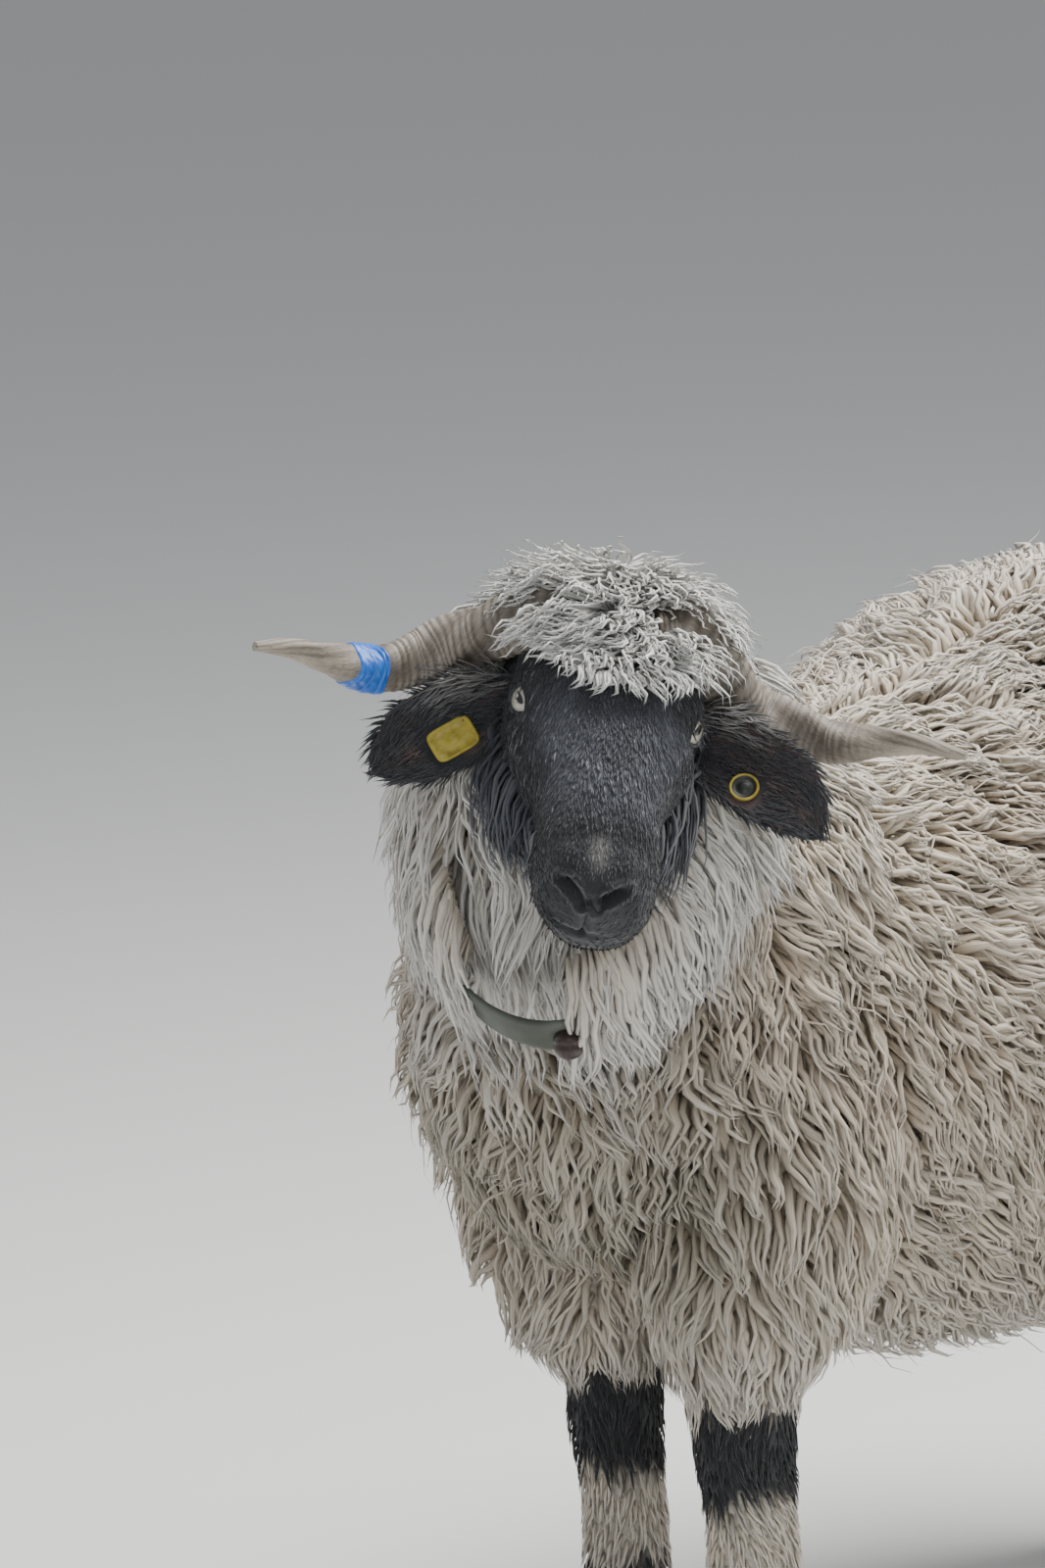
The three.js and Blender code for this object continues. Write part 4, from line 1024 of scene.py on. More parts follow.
# Eyes: a pale iris with a dark oblong pupil, behind a wet clear surface
def length_of(tree, vector, scale, location=(0, 0, 0)):
    """The length of a vector once it is scaled and moved."""
    mapping = node(tree, "ShaderNodeMapping", Scale=scale, Location=location)
    tree.links.new(vector, mapping.inputs["Vector"])
    made = node(tree, "ShaderNodeVectorMath", operation="LENGTH")
    tree.links.new(mapping.outputs["Vector"], made.inputs[0])
    return made.outputs["Value"]


def make_eye_material():
    """Iris and pupil by the mesh's gaze, a place on the unit sphere whose third part looks ahead."""
    material, tree, shader = new_material("eye_ball", 0.08, specular=0.6, coat=1.0)
    vector = node(tree, "ShaderNodeAttribute", attribute_name="gaze").outputs["Vector"]
    iris = ramp(tree, length_of(tree, vector, (1, 1, 0)), [
        (0.0, (0.40, 0.38, 0.29)), (0.50, (0.62, 0.60, 0.50)), (0.66, (0.50, 0.48, 0.39)),
        (0.72, (0.10, 0.085, 0.07)), (0.86, (0.035, 0.028, 0.025)),
    ])
    spokes = node(tree, "ShaderNodeTexNoise", Scale=7.0, Detail=5.0)
    tree.links.new(vector, spokes.inputs["Vector"])
    flecks = ramp(tree, spokes.outputs["Fac"], [(0.3, (0.72, 0.70, 0.66)), (0.65, (1.1, 1.1, 1.1))])
    oblong = length_of(tree, vector, (1.5, 3.4, 0), (0, -0.55, 0))
    pupil = ramp(tree, oblong, [(0.52, (0.02, 0.02, 0.025)), (0.66, (1, 1, 1))])
    tree.links.new(multiply(tree, multiply(tree, iris, flecks), pupil), shader.inputs["Base Color"])
    return material


def ball(rows, around, gap):
    """Angles from the pole and unit points for the grid of a sphere that is open by a gap at its poles."""
    t, angle = ring_grid(np.linspace(gap, math.pi - gap, rows), around)
    return t, np.stack([np.sin(t) * np.cos(angle), np.sin(t) * np.sin(angle), np.cos(t)], -1)


eye_material = make_eye_material()
for side, name in ((1, "left"), (-1, "right")):
    t, local = ball(44, 60, 0.02)
    axes = np.array([mirrored(EYE_LONG, side), mirrored(EYE_HIGH, side), mirrored(EYE_OUT, side)])
    cornea = 1 + 0.05 * hump(t, 0, 0.55)
    points = on_head(mirrored(EYE_PLACE, side) + (local * cornea[..., None] * (EYE_RADIUS - 0.1)) @ axes)
    eye = new_object("eyeball_" + name, loft("eyeball_" + name, points), eye_material)
    gaze = np.concatenate([local.reshape(-1, 3), [[0, 0, 1], [0, 0, -1]]])
    point_attribute(eye.data, "gaze", "FLOAT_VECTOR", gaze)
    stands_for(eye, "eye_" + name)

# Claws: horn shoes with growth lines and flat soles
claw_material = grained_material(
    "claw_horn", dict(roughness=0.5, specular=0.4), None, (60, 60, 520), dict(Scale=1.0, Detail=4.0),
    [(0.3, (0.018, 0.015, 0.013)), (0.7, (0.075, 0.06, 0.048))], (0.5, 0.001),
)
# Heights over the floor, and the size of the claw's outline at each
claw_levels = np.array([0, 0.4, 1.2, 2.5, 5, 9, 13, 17, 21, 25, 28, 29.5, CORONET])
claw_shrink = np.array([0.9, 0.955, 0.985, 1, 0.99, 0.965, 0.94, 0.915, 0.89, 0.865, 0.83, 0.75, 0.5])
CLAW_AHEAD, CLAW_SLOPE, TOE_IN = 16, 0.25, 3
for leg in legs:
    for word, side in (("outer", leg["side"]), ("inner", -leg["side"])):
        height, angle = ring_grid(claw_levels, 48)
        outline = claw_shrink[:, None] + 0 * angle
        s = np.sin(angle)
        toe = np.where(s < 0, 1 - 0.45 * s * s, 1)
        x = leg["x"] + side * (CLAW_WIDTH / 2 + 1) + CLAW_WIDTH / 2 * outline * toe * np.cos(angle)
        x = x - side * TOE_IN * np.maximum(0, -s)
        y = leg["y"] - CLAW_AHEAD + CLAW_LENGTH / 2 * outline * s + height * CLAW_SLOPE
        name = "claw_" + leg["name"] + "_" + word
        claw = new_object(name + "_horn", loft(name, np.stack([x, y, height], -1)), claw_material)
        stands_for(claw, name)

# Collar: a flat webbing strap round the neck, with a dark toggle at its foot
STRAP_TOP, STRAP_FOOT = np.array([60.0, -400, 790]), np.array([109.0, -590, 567])
STRAP_HALF_ACROSS, STRAP_WIDE, STRAP_THICK = 104.0, 35.0, 4.0
middle, long = (STRAP_TOP + STRAP_FOOT) / 2, (STRAP_FOOT - STRAP_TOP) / 2
across = unit(NECK_ACROSS - long * dot(NECK_ACROSS, long) / dot(long, long))
axis = unit(np.cross(across, long))


def strap_spoke(angle):
    """From the middle of the strap's loop to the strap, at each angle."""
    return across * (STRAP_HALF_ACROSS * np.cos(angle))[:, None] + long * np.sin(angle)[:, None]


def make_strap_material():
    """Green-grey webbing with threads and wear."""
    material, tree, shader = new_material("webbing", 0.75, sheen=0.1, specular=0.3)
    weave = texture(
        tree, "ShaderNodeTexWave", "strand", (3.2, 3.2, 1), Scale=1.0, Distortion=1.5, Detail=2.0,
    ).outputs["Fac"]
    wear = texture(tree, "ShaderNodeTexNoise", None, UNSTRETCHED, Scale=28.0, Detail=6.0).outputs["Fac"]
    worn = ramp(tree, wear, [
        (0.3, (0.055, 0.065, 0.045)), (0.55, (0.115, 0.13, 0.105)), (0.8, (0.20, 0.21, 0.18)),
    ])
    threads = ramp(tree, weave, [(0.2, (0.8,) * 3), (0.8, (1.1,) * 3)])
    tree.links.new(multiply(tree, worn, threads), shader.inputs["Base Color"])
    bump(tree, shader, weave, 0.4, 0.0006)
    return material


# The strap's cross-section: shares of its width and its thickness
strap_profile = np.array([
    (-0.5, -0.5), (-0.5, 0.5), (-0.38, 0.5), (0, 0.5), (0.38, 0.5),
    (0.5, 0.5), (0.5, -0.5), (0.38, -0.5), (0, -0.5), (-0.38, -0.5),
])
STRAP_EDGE = 0.6  # thickness at the edges, as a share
angle = ring_angles(160)
spoke = strap_spoke(angle)
out = unit(spoke)
rings = []
for w, h in strap_profile:
    thick = h * STRAP_THICK * (STRAP_EDGE if abs(w) == 0.5 else 1.0)
    rings.append(middle + spoke + axis * (w * STRAP_WIDE) + out * thick)
rings = np.stack(rings, 1)
rings = rings + (0.9 * np.sin(angle * 5 + 1))[:, None, None] * out[:, None, :]
corners = rings.reshape(-1, 3)
strap_faces = [
    [i % len(corners) for i in face] for face in loft_faces(len(rings) + 1, len(strap_profile), ends=False)
]
strap = new_object("strap_webbing", solid("strap", corners, strap_faces), make_strap_material())
round_strap, over_strap = np.meshgrid(
    angle * STRAP_HALF_ACROSS, strap_profile[:, 0] * STRAP_WIDE, indexing="ij",
)
strand = np.stack([round_strap, over_strap, 0 * round_strap], -1)
point_attribute(strap.data, "strand", "FLOAT_VECTOR", strand)
stands_for(strap, "collar_strap")

knob_material = grained_material(
    "knob_wood", dict(roughness=0.4, specular=0.5), None, (400, 120, 120), dict(Scale=1.0, Detail=5.0),
    [(0.3, (0.012, 0.008, 0.006)), (0.7, (0.06, 0.035, 0.025))], (0.4, 0.0008),
)
KNOB_RADIUS, KNOB_ANGLE = 11.0, math.radians(78)
knob_spoke = strap_spoke(np.array([KNOB_ANGLE]))[0]
knob_place = middle + knob_spoke + unit(knob_spoke) * KNOB_RADIUS * 0.75
t, knob_points = ball(30, 36, 0.05)
knob_points[..., :2] *= (1 - 0.10 * hump(t, 1.57, 0.22))[..., None]
knob_mesh = loft("knob_toggle", knob_place + knob_points * KNOB_RADIUS)
knob = new_object("knob_toggle", knob_mesh, knob_material)
stands_for(knob, "collar_knob")

# Ear tags: blank, with a stud through the ear
tag_material = grained_material(
    "tag_plastic", dict(roughness=0.4, specular=0.5), None, UNSTRETCHED, dict(Scale=160.0, Detail=6.0),
    [(0.3, (0.6, 0.56, 0.48)), (0.55, (1, 1, 1))], (0.2, 0.0006), carries_colours=True,
)
TAG_YELLOW = np.array([0.50, 0.40, 0.05])
TAG_DARK = np.array([0.02, 0.022, 0.02])
TAG_AROUND = 64
ROUND_PLATE = (10.0, 10.0, 2.0)  # half length, half width and fullness of the outline
LONG_PLATE = (16.0, 11.5, 5.0)


def tag_rings(ear, plate):
    """Rings of a tag from its back disc to its button, and each one's share of the plate's outline."""
    at, along, sideways, face = tag_frame(ear)
    low = EAR_THICK / 2 + 0.6
    # rows of [share of the outline, height]: back disc, stud, plate with a raised rim, button
    profile = [(0.05, -8), (0.6, -8), (0.68, -7.4), (0.68, -6), (0.3, -5.4), (0.28, low - 0.2),
               (0.94, low), (1.0, low + 0.5), (1.0, low + 1.6), (0.95, low + 2.2), (0.84, low + 2.2),
               (0.80, low + 1.5), (0.42, low + 1.4), (0.34, low + 2.1), (0.15, low + 2.2), (0.02, low + 2.2)]
    angle = ring_angles(TAG_AROUND)
    rings, shares = [], []
    for share, height in profile:
        long_half, wide_half, fullness = plate if share > 0.7 else ROUND_PLATE
        x = share * long_half * bowed(np.cos(angle), fullness)
        y = share * wide_half * bowed(np.sin(angle), fullness)
        local = at + along * x[:, None] + sideways * y[:, None] + face * height
        rings.append(on_head(mirrored(local, ear["side"])))
        shares.append(np.full(TAG_AROUND, share if height > low else 1.0))
    return np.array(rings), np.concatenate([np.array(shares).ravel(), [1.0, 0.0]])


# the round tag's face is dark inside its rim
for ear, plate, dark_share in ((ears[0], ROUND_PLATE, 0.83), (ears[1], LONG_PLATE, 0.0)):
    name = "ear_tag_" + ear["name"]
    rings, shares = tag_rings(ear, plate)
    tag = new_object(name + "_plate", loft(name, rings), tag_material)
    colour_attribute(tag.data, np.where((shares < dark_share)[:, None], TAG_DARK, TAG_YELLOW))
    stands_for(tag, name)

# Coat


RING_STEPS = np.linspace(0, FULL_TURN, 97)


def jittered_ring(ring, row, apart, random, least):
    """Angles set evenly by arc length round a ring of points, with a jitter; each second row is shifted."""
    girth = np.concatenate([[0], np.cumsum(np.linalg.norm(np.diff(ring, axis=0), axis=1))])
    n = max(least, int(girth[-1] / apart))
    along = (np.arange(n) + random.random(n) * 0.9 + 0.5 * (row % 2)) / n % 1
    return np.interp(along * girth[-1], girth, RING_STEPS)


def scatter(form, depth, start, end, apart, seed):
    """Places set close over a form, as (place, angle), evenly by arc length with a seeded jitter."""
    random = np.random.default_rng(seed)
    ts = np.linspace(start, end, 200)
    steps = np.zeros(199)
    for angle in (0.3, 1.3, 2.3, 3.3, 4.3, 5.3):
        path = form.point(ts, angle, depth(ts))
        steps += np.linalg.norm(np.diff(path, axis=0), axis=1) / 6
    length = np.concatenate([[0], np.cumsum(steps)])
    rows = max(1, int(length[-1] / apart))
    places, angles = [], []
    for r in range(rows):
        place = (r + 0.5) / rows * length[-1]
        t = np.interp(place, length, ts)
        ring = form.point(np.full(len(RING_STEPS), t), RING_STEPS, depth(t))
        angles.append(jittered_ring(ring, r, apart, random, 3))
        jitter = (random.random(len(angles[-1])) - 0.5) * 0.9 * length[-1] / rows
        places.append(np.interp(place + jitter, length, ts))
    return np.concatenate(places), np.concatenate(angles)


def varied(random, count, share, least=-2.0):
    """Factors near 1 that differ by about that share from tuft to tuft."""
    return 1 + share * random.normal(size=count).clip(least, 2)


def grow(roots, outs, lies, seed, length, lift, width, clump=24.0, pull=0.6, curl=3.0, waves=1.6,
         sink=3.0, droop=0.0, rings=7, flat=0.4, spread=0.5):
    """Spines and frames of tufts: each leaves the skin, bends over along the lie and ends in a point,
    and the tufts of a lock draw together towards one tip."""
    random = np.random.default_rng(seed)
    n = len(roots)
    curl = np.broadcast_to(curl, n)[:, None]
    length, lift, width = (np.broadcast_to(x, n) * varied(random, n, 0.22) for x in (length, lift, width))
    flow = unit(lies - outs * dot(lies, outs)[:, None])
    drift = 1.2 * noise(roots, 55, seed) + 0.7 * noise(roots, 20, seed + 1)
    wander = spread * drift + 0.12 * random.normal(size=n)
    side = np.cross(outs, flow)
    flow = flow * np.cos(wander)[:, None] + side * np.sin(wander)[:, None]
    side = np.cross(outs, flow)
    s = np.linspace(0, 1, rings + 1)[None, :]
    rise = lift[:, None] * (1 - (1 - s) ** 2.2) - sink * (1 - s)
    run = length[:, None] * s ** 1.25
    phase = 2 * math.pi * (noise(roots, clump * 1.4, seed + 2) * 1.2 + 0.10 * random.normal(size=n))
    turns = waves * (1 + 0.25 * noise(roots, clump, seed + 3))
    beat = 2 * math.pi * turns[:, None] * s + phase[:, None]
    swing = curl * s ** 0.6 * np.sin(beat)
    lean = curl * 0.55 * s ** 0.8 * np.cos(beat)
    spine = roots[:, None] + outs[:, None] * (rise + lean)[..., None] + flow[:, None] * run[..., None]
    spine += side[:, None] * swing[..., None]
    spine[..., 2] -= droop * s ** 2
    leaders = random.permutation(n)[: max(1, int(n * 40.0 / clump ** 2))]
    tree = kdtree.KDTree(len(leaders))
    for i, leader in enumerate(leaders):
        tree.insert(roots[leader], i)
    tree.balance()
    own = leaders[[tree.find(p)[1] for p in roots]]
    gather = (spine[own, -1] - spine[:, -1]) * pull
    far = np.linalg.norm(gather, axis=1)
    gather = gather * np.minimum(1, clump / np.maximum(far, 1e-6))[:, None]
    spine += gather[:, None] * (s ** 1.7)[..., None]
    tangent = unit(np.gradient(spine, axis=1))
    up = unit(outs[:, None] - tangent * dot(tangent, outs[:, None])[..., None])
    across = np.cross(tangent, up)
    taper = (0.55 + 0.45 * np.minimum(1, s / 0.22)) * (1 - s) ** 0.7
    wide = width[:, None] * taper
    return {
        "spine": spine, "up": up, "across": across, "wide": wide, "flat": flat, "length": length, "s": s[0],
    }


PIECE_TRIANGLES = 190000  # the most triangles in one piece of the coat
PATCH_WIDE, PATCH_LONG = 0.0013, 0.0026  # half width and length of a tuft's patch on the unwrap


def tufts(name, grown, colours, charts, hair):
    """Closed three-sided tapering tufts as pieces of the coat. colours is (n, root and tip, 3)."""
    material, slot = hair
    spine, up, across, wide = (grown[k] for k in ("spine", "up", "across", "wide"))
    n, steps = spine.shape[:2]
    rings = steps - 1
    w, h = wide[:, :rings, None], wide[:, :rings, None] * grown["flat"]
    centre, up, across = spine[:, :rings], up[:, :rings], across[:, :rings]
    corners = np.stack([
        centre - across * w / 2 - up * h / 3,
        centre + across * w / 2 - up * h / 3,
        centre + up * h * 2 / 3,
    ], 2)
    points = np.concatenate([corners.reshape(n, rings * 3, 3), spine[:, -1:]], 1)
    per = rings * 3 + 1
    faces = [[0, 2, 1]]
    for r in range(rings - 1):
        for k in range(3):
            a, b = r * 3 + k, r * 3 + (k + 1) % 3
            faces += [[a, b, b + 3], [a, b + 3, a + 3]]
    top = (rings - 1) * 3
    faces += [[top + k, top + (k + 1) % 3, per - 1] for k in range(3)]
    faces = np.array(faces)
    place = np.concatenate([np.repeat(grown["s"][:rings], 3), [1.0]])
    shift = np.concatenate([np.tile([-1.0, 1.0, 0.0], rings), [0.0]])
    shade = mix(colours[:, None, 0], colours[:, None, 1], np.broadcast_to(place ** 0.8, (n, per)))
    random = np.random.default_rng(len(name))
    strand = np.stack([
        shift[None] * wide[:, :1] / 2 + random.random(n)[:, None] * 400,
        place[None] * grown["length"][:, None],
        np.broadcast_to(random.random(n)[:, None] * 90, (n, per)),
    ], -1)
    uv = charts[:, None] + np.stack([shift * PATCH_WIDE, (place - 0.5) * PATCH_LONG], -1)[None]
    batch = max(1, PIECE_TRIANGLES // len(faces))
    for number, first in enumerate(range(0, n, batch)):
        last = min(n, first + batch)
        index = (faces[None] + (np.arange(last - first) * per)[:, None, None]).reshape(-1, 3)
        mesh = triangles(f"{name}_{number + 1}", points[first:last].reshape(-1, 3), index)
        colour_attribute(mesh, shade[first:last].reshape(-1, 3))
        point_attribute(mesh, "strand", "FLOAT_VECTOR", strand[first:last].reshape(-1, 3))
        layer = mesh.uv_layers.new(name="OFBake")
        corner_uv = uv[first:last].reshape(-1, 2)[index.ravel()]
        layer.data.foreach_set("uv", corner_uv.astype(np.float32).ravel())
        piece = new_object(mesh.name, mesh, material)
        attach(piece, "root")


def chart(box, across, along):
    """A place on the unwrap of the skin: each form has its own box (left, low, right, high)."""
    left, low, right, high = box
    return np.stack([left + (right - left) * (across % 1), low + (high - low) * along], -1)


def wrapped(box, angle, along):
    """A place on the unwrap of a form, from the angle round it."""
    return chart(box, angle / FULL_TURN, along)


def wool_lie(roots, outs):
    """The fall of the fleece: back and down over the trunk, straight down on the chest."""
    front = smoothstep(-roots[:, 1], 330, 450)
    lie = np.stack([
        0.55 * np.sign(roots[:, 0]) * smoothstep(outs[:, 2], 0.2, 0.9),
        0.45 * (1 - front),
        -1.0 + 0.6 * smoothstep(outs[:, 2], 0.4, 1.0),
    ], -1)
    under = smoothstep(-outs[:, 2], 0.5, 1.0)
    return lie + np.stack([0 * under, 0.8 * under, 0 * under], -1)


def hidden(points, own):
    """Which roots lie inside one of the other forms."""
    inside = np.zeros(len(points), bool)
    forms = [(torso, trunk_depth), (neck, trunk_depth), (tail, tail_depth)]
    forms += [(leg["form"], leg_depth) for leg in legs]
    for form, depth in forms:
        if form is not own:
            inside |= form.holds(points, lambda t, depth=depth: depth(t) + 6)
    local = in_head(points)
    half, top, bottom, widest = head_values(np.clip(local[:, 1], HEAD_START, HEAD_END)).T
    reach = np.where(local[:, 2] > widest, top - widest, widest - bottom)
    full = (np.abs(local[:, 0]) / half) ** HEAD_FULL + (np.abs(local[:, 2] - widest) / reach) ** HEAD_FULL
    return inside | ((full < 0.8) & (local[:, 1] > -90) & (local[:, 1] < 150))


def on_end(form, end, count, seed, depth, full):
    """Roots over the flat end of a form: places, angles, points and outward directions."""
    random = np.random.default_rng(seed)
    angles = random.random(count) * 2 * math.pi
    inward = 1 - full * random.random(count) ** 1.3
    edge = form.point(np.full(count, end), angles, depth)
    centre = form.values(np.array(end))[:3]
    forward = form.frame(np.array(end))[0] * (1 if end == form.end else -1)
    points = centre + (edge - centre) * inward[:, None]
    return np.full(count, end), angles, points, unit(forward + 0.9 * unit(edge - centre) * inward[:, None])


def rooted(form, depth, start, end, apart, seed):
    """Roots over the side of a form: places, angles, points and outward directions."""
    t, a = scatter(form, depth, start, end, apart, seed)
    return t, a, form.point(t, a, depth(t)), form.normal(t, a, depth(t))


def joined(*groups):
    """Groups of roots as one group."""
    return [np.concatenate(values) for values in zip(*groups)]


def kept(free, *arrays):
    """The rows of each array that are free."""
    return [values[free] for values in arrays]


def dense_count(count):
    """How many tufts that number at FULL_SPACING comes to at this spacing."""
    return int(count * (FULL_SPACING / spacing) ** 2)


def root_and_tip(root, tip, palest=0.9):
    """Colours of tufts, (n, root and tip, 3), kept off pure black and white."""
    return np.clip(np.stack([root, tip], 1), 0.004, palest)


def shaded(points, seed, root_shade=0.72, tip_highlight=1.08):
    """Colours at the root and the tip of each tuft, with a little chance from tuft to tuft. Roots are tanner
    and darker, and the darkening is painted shade deep in the coat. Tips are whiter and brighter, partly
    paler wool and partly painted highlight.
    """
    random = np.random.default_rng(seed)
    base = wool_colour(points) * varied(random, len(points), 0.10)[:, None]
    # painted shade: the root colour is darkened where the coat shades its own depth, besides being tanner
    dark = base * np.array([0.96, 0.86, 0.72]) * root_shade
    # whiter tips, partly paler wool and partly painted highlight, brightened again by the last factor
    bleached_and_highlit = mix(base, WHITE, 0.35 * smoothstep(base[:, 0], 0.2, 0.5))
    return root_and_tip(dark, bleached_and_highlit * tip_highlight, 0.95)


# Millimetres between the tufts; the counts and widths of the tufts are those for FULL_SPACING
FULL_SPACING = 7.1
spacing = 7.5
size = spacing / FULL_SPACING
TRUNK_START, TRUNK_LENGTH = -492, 966
TRUNK_BOX, NECK_BOX, TAIL_BOX = (0.02, 0.02, 0.98, 0.5), (0.02, 0.52, 0.40, 0.70), (0.02, 0.71, 0.12, 0.84)
CROWN_BOX, FACE_BOX = (0.14, 0.71, 0.40, 0.84), (0.42, 0.86, 0.98, 0.98)

# Trunk, where the belly, which is hardly seen, carries fewer
t, a, roots, outs = rooted(torso, trunk_depth, -491.5, 473.5, spacing, 101)
free = ~hidden(roots, torso) & ((outs[:, 2] > -0.8) | (np.random.default_rng(300).random(len(t)) < 0.6))
t, a, roots, outs = kept(free, t, a, roots, outs)
lies = wool_lie(roots, outs)
charts = wrapped(TRUNK_BOX, a, (t - TRUNK_START) / TRUNK_LENGTH)
top = smoothstep(outs[:, 2], 0.3, 0.9)
grown = grow(roots, outs, lies, 201, length=46 - 8 * top, lift=22 + 2 * top, width=8.0 * size,
             clump=24, pull=0.7, curl=5.0, waves=1.65, droop=5.0, rings=6, spread=0.8)
tufts("fleece_trunk", grown, shaded(roots, 1), charts, FLEECE)

# Fine loose strands that stand off the fleece
loose = np.random.default_rng(301).permutation(len(roots))[: len(roots) // 8]
roots, outs, lies, charts = kept(loose, roots, outs, lies, charts)
grown = grow(roots, outs, lies, 301, length=50.0, lift=27.0, width=1.9 * size,
             clump=14, pull=0.15, curl=6.0, waves=1.5, droop=6.0, rings=5, spread=1.2)
# the last two numbers darken the roots as painted shade and brighten the tips as painted highlight
tufts("fleece_loose", grown, shaded(roots, 6, 0.9, 1.15), charts, FLEECE)

# Neck, with the white ruff that frames the face
t, a, roots, outs = joined(
    rooted(neck, trunk_depth, 0.05, 0.99, spacing, 102),
    on_end(neck, 1.0, dense_count(1500), 302, CORE_DEPTH, 0.62),
)
t, a, roots, outs = kept(~hidden(roots, neck), t, a, roots, outs)
ruff = smoothstep(t, 0.5, 0.85)
throat = ruff * smoothstep(-outs[:, 1], 0.1, 0.6) * smoothstep(740 - roots[:, 2], 0, 60)
lies = np.stack([0 * t, 0.25 - 0.35 * throat, -1 + 0 * t], -1)
grown = grow(roots, outs, lies, 202, length=46 + 20 * ruff + 14 * throat, lift=21 + 5 * ruff + 8 * throat,
             width=7.4 * size, clump=26, pull=0.65, curl=4.6, waves=1.5, droop=10.0, rings=7, spread=0.6)
tufts("ruff", grown, shaded(roots, 2), wrapped(NECK_BOX, a, t), WHITE_WOOL)


def under_wool(points, outs):
    """The skin below each point, or a place deep in the wool where there is none near."""
    found = []
    for p, out in zip(world(points), outs):
        hit, where, _, _ = skin.ray_cast(Vector(p), Vector(-out), distance=0.045)
        found.append(where if hit else Vector(p - out * 0.02))
    return from_world(found)


# The fringe of the ruff that hangs over the strap and leaves only its low left part bare
count = dense_count(1350)
random = np.random.default_rng(303)
angles = 3 * random.normal(size=count)
on_left = random.random(count) < 0.6
angles = angles + np.where(on_left, -60 + 128 * random.random(count), 130 + 98 * random.random(count))
bend = np.radians(angles)
above = 2 + 40 * random.random(count)
spoke = strap_spoke(bend)
outs = unit(spoke)
over = middle + spoke - axis * (STRAP_WIDE / 2 + above)[:, None]
roots = under_wool(over, outs)
depth = dot(over - roots, outs)
lies = axis + np.array([0, 0, -1.3]) + 0 * outs
grown = grow(roots, outs, lies, 212, length=above + STRAP_WIDE + 12, lift=depth + 12, width=7.0 * size,
             clump=24, pull=0.6, curl=4.2, waves=1.6, droop=8.0, rings=6, spread=0.35)
charts = wrapped(NECK_BOX, bend, np.clip(0.9 - above / 400, 0, 1))
tufts("ruff_fringe", grown, shaded(roots, 6), charts, WHITE_WOOL)

# Woolly upper legs, and the short hair of the shanks
lie = np.array([0, 0.12, -1.0])
for number, leg in enumerate(legs):
    left = 0.42 + 0.14 * number
    t, a, roots, outs = rooted(leg["form"], leg_depth, 0.05, 0.60, spacing, 110 + number)
    t, a, roots, outs = kept(~hidden(roots, leg["form"]), t, a, roots, outs)
    short = smoothstep(t, 0.42, 0.60)
    grown = grow(roots, outs, lie + 0 * roots, 210 + number, length=44 - 20 * short, lift=20 - 15 * short,
                 width=(7.6 - 2.6 * short) * size, clump=24, pull=0.6, curl=3.6 - 1.6 * short, waves=1.4,
                 droop=6.0, rings=6)
    charts = wrapped((left, 0.52, left + 0.13, 0.70), a, t / 0.62)
    tufts("leg_wool_" + leg["name"], grown, shaded(roots, 3), charts, WHITE_WOOL)
    t, a, roots, outs = rooted(leg["form"], leg_depth, 0.57, 0.995, spacing * 0.70, 120 + number)
    feather = smoothstep(t, 0.60, 0.78)
    grown = grow(roots, outs, lie + 0 * roots, 220 + number,
                 length=14.0 + 4 * feather, lift=1.8 + 1.8 * feather, width=3.5 * size,
                 clump=9, pull=0.5, curl=0.9, waves=0.8, sink=1.0, rings=3, spread=0.35)
    charts = wrapped((left, 0.71, left + 0.13, 0.84), a, (t - 0.57) / 0.43)
    # the last two numbers darken the roots as painted shade and brighten the tips as painted highlight
    tufts("leg_hair_" + leg["name"], grown, shaded(roots, 4, 0.8, 1.1), charts, WHITE_WOOL)

# Tail
t, a, roots, outs = joined(
    rooted(tail, tail_depth, 0.0, 0.985, spacing, 103),
    on_end(tail, 0.0, dense_count(90), 305, TAIL_DEPTH, 1.0),
)
t, a, roots, outs = kept(~hidden(roots, tail), t, a, roots, outs)
grown = grow(roots, outs, np.array([0, 0.1, -1.0]) + 0 * roots, 203, length=34.0, lift=12.0, width=7.4 * size,
             clump=22, pull=0.6, curl=3.0, waves=1.4, droop=4.0, rings=6)
tufts("tail_wool", grown, shaded(roots, 5), wrapped(TAIL_BOX, a, t), WHITE_WOOL)


# Head: short fur on the face, longer on the cheeks, and the white cap of wool
def head_scatter(apart, seed, start=HEAD_START + 1, end=HEAD_END - 1):
    random = np.random.default_rng(seed)
    noses, angles = [], []
    rows = int((end - start) / apart)
    for r in range(rows):
        nose = start + (r + 0.5) * (end - start) / rows
        ring = head_section(np.full(len(RING_STEPS), nose), RING_STEPS)
        angles.append(jittered_ring(ring, r, apart, random, 4))
        n = len(angles[-1])
        noses.append(np.full(n, nose) + (random.random(n) - 0.5) * 0.9 * (end - start) / rows)
    return np.concatenate(noses), np.concatenate(angles)


def on_skin(points, outs):
    """Points dropped on to the skin along their outward direction, with the skin's normal there."""
    found, normals, keep = [], [], []
    for p, out in zip(world(points), outs):
        hit, where, normal, _ = skin.ray_cast(Vector(p + out * 0.012), Vector(-out), distance=0.03)
        keep.append(hit)
        found.append(where if hit else Vector(p))
        normals.append(normal if hit else Vector(out))
    return from_world(found), np.array(normals), np.array(keep)


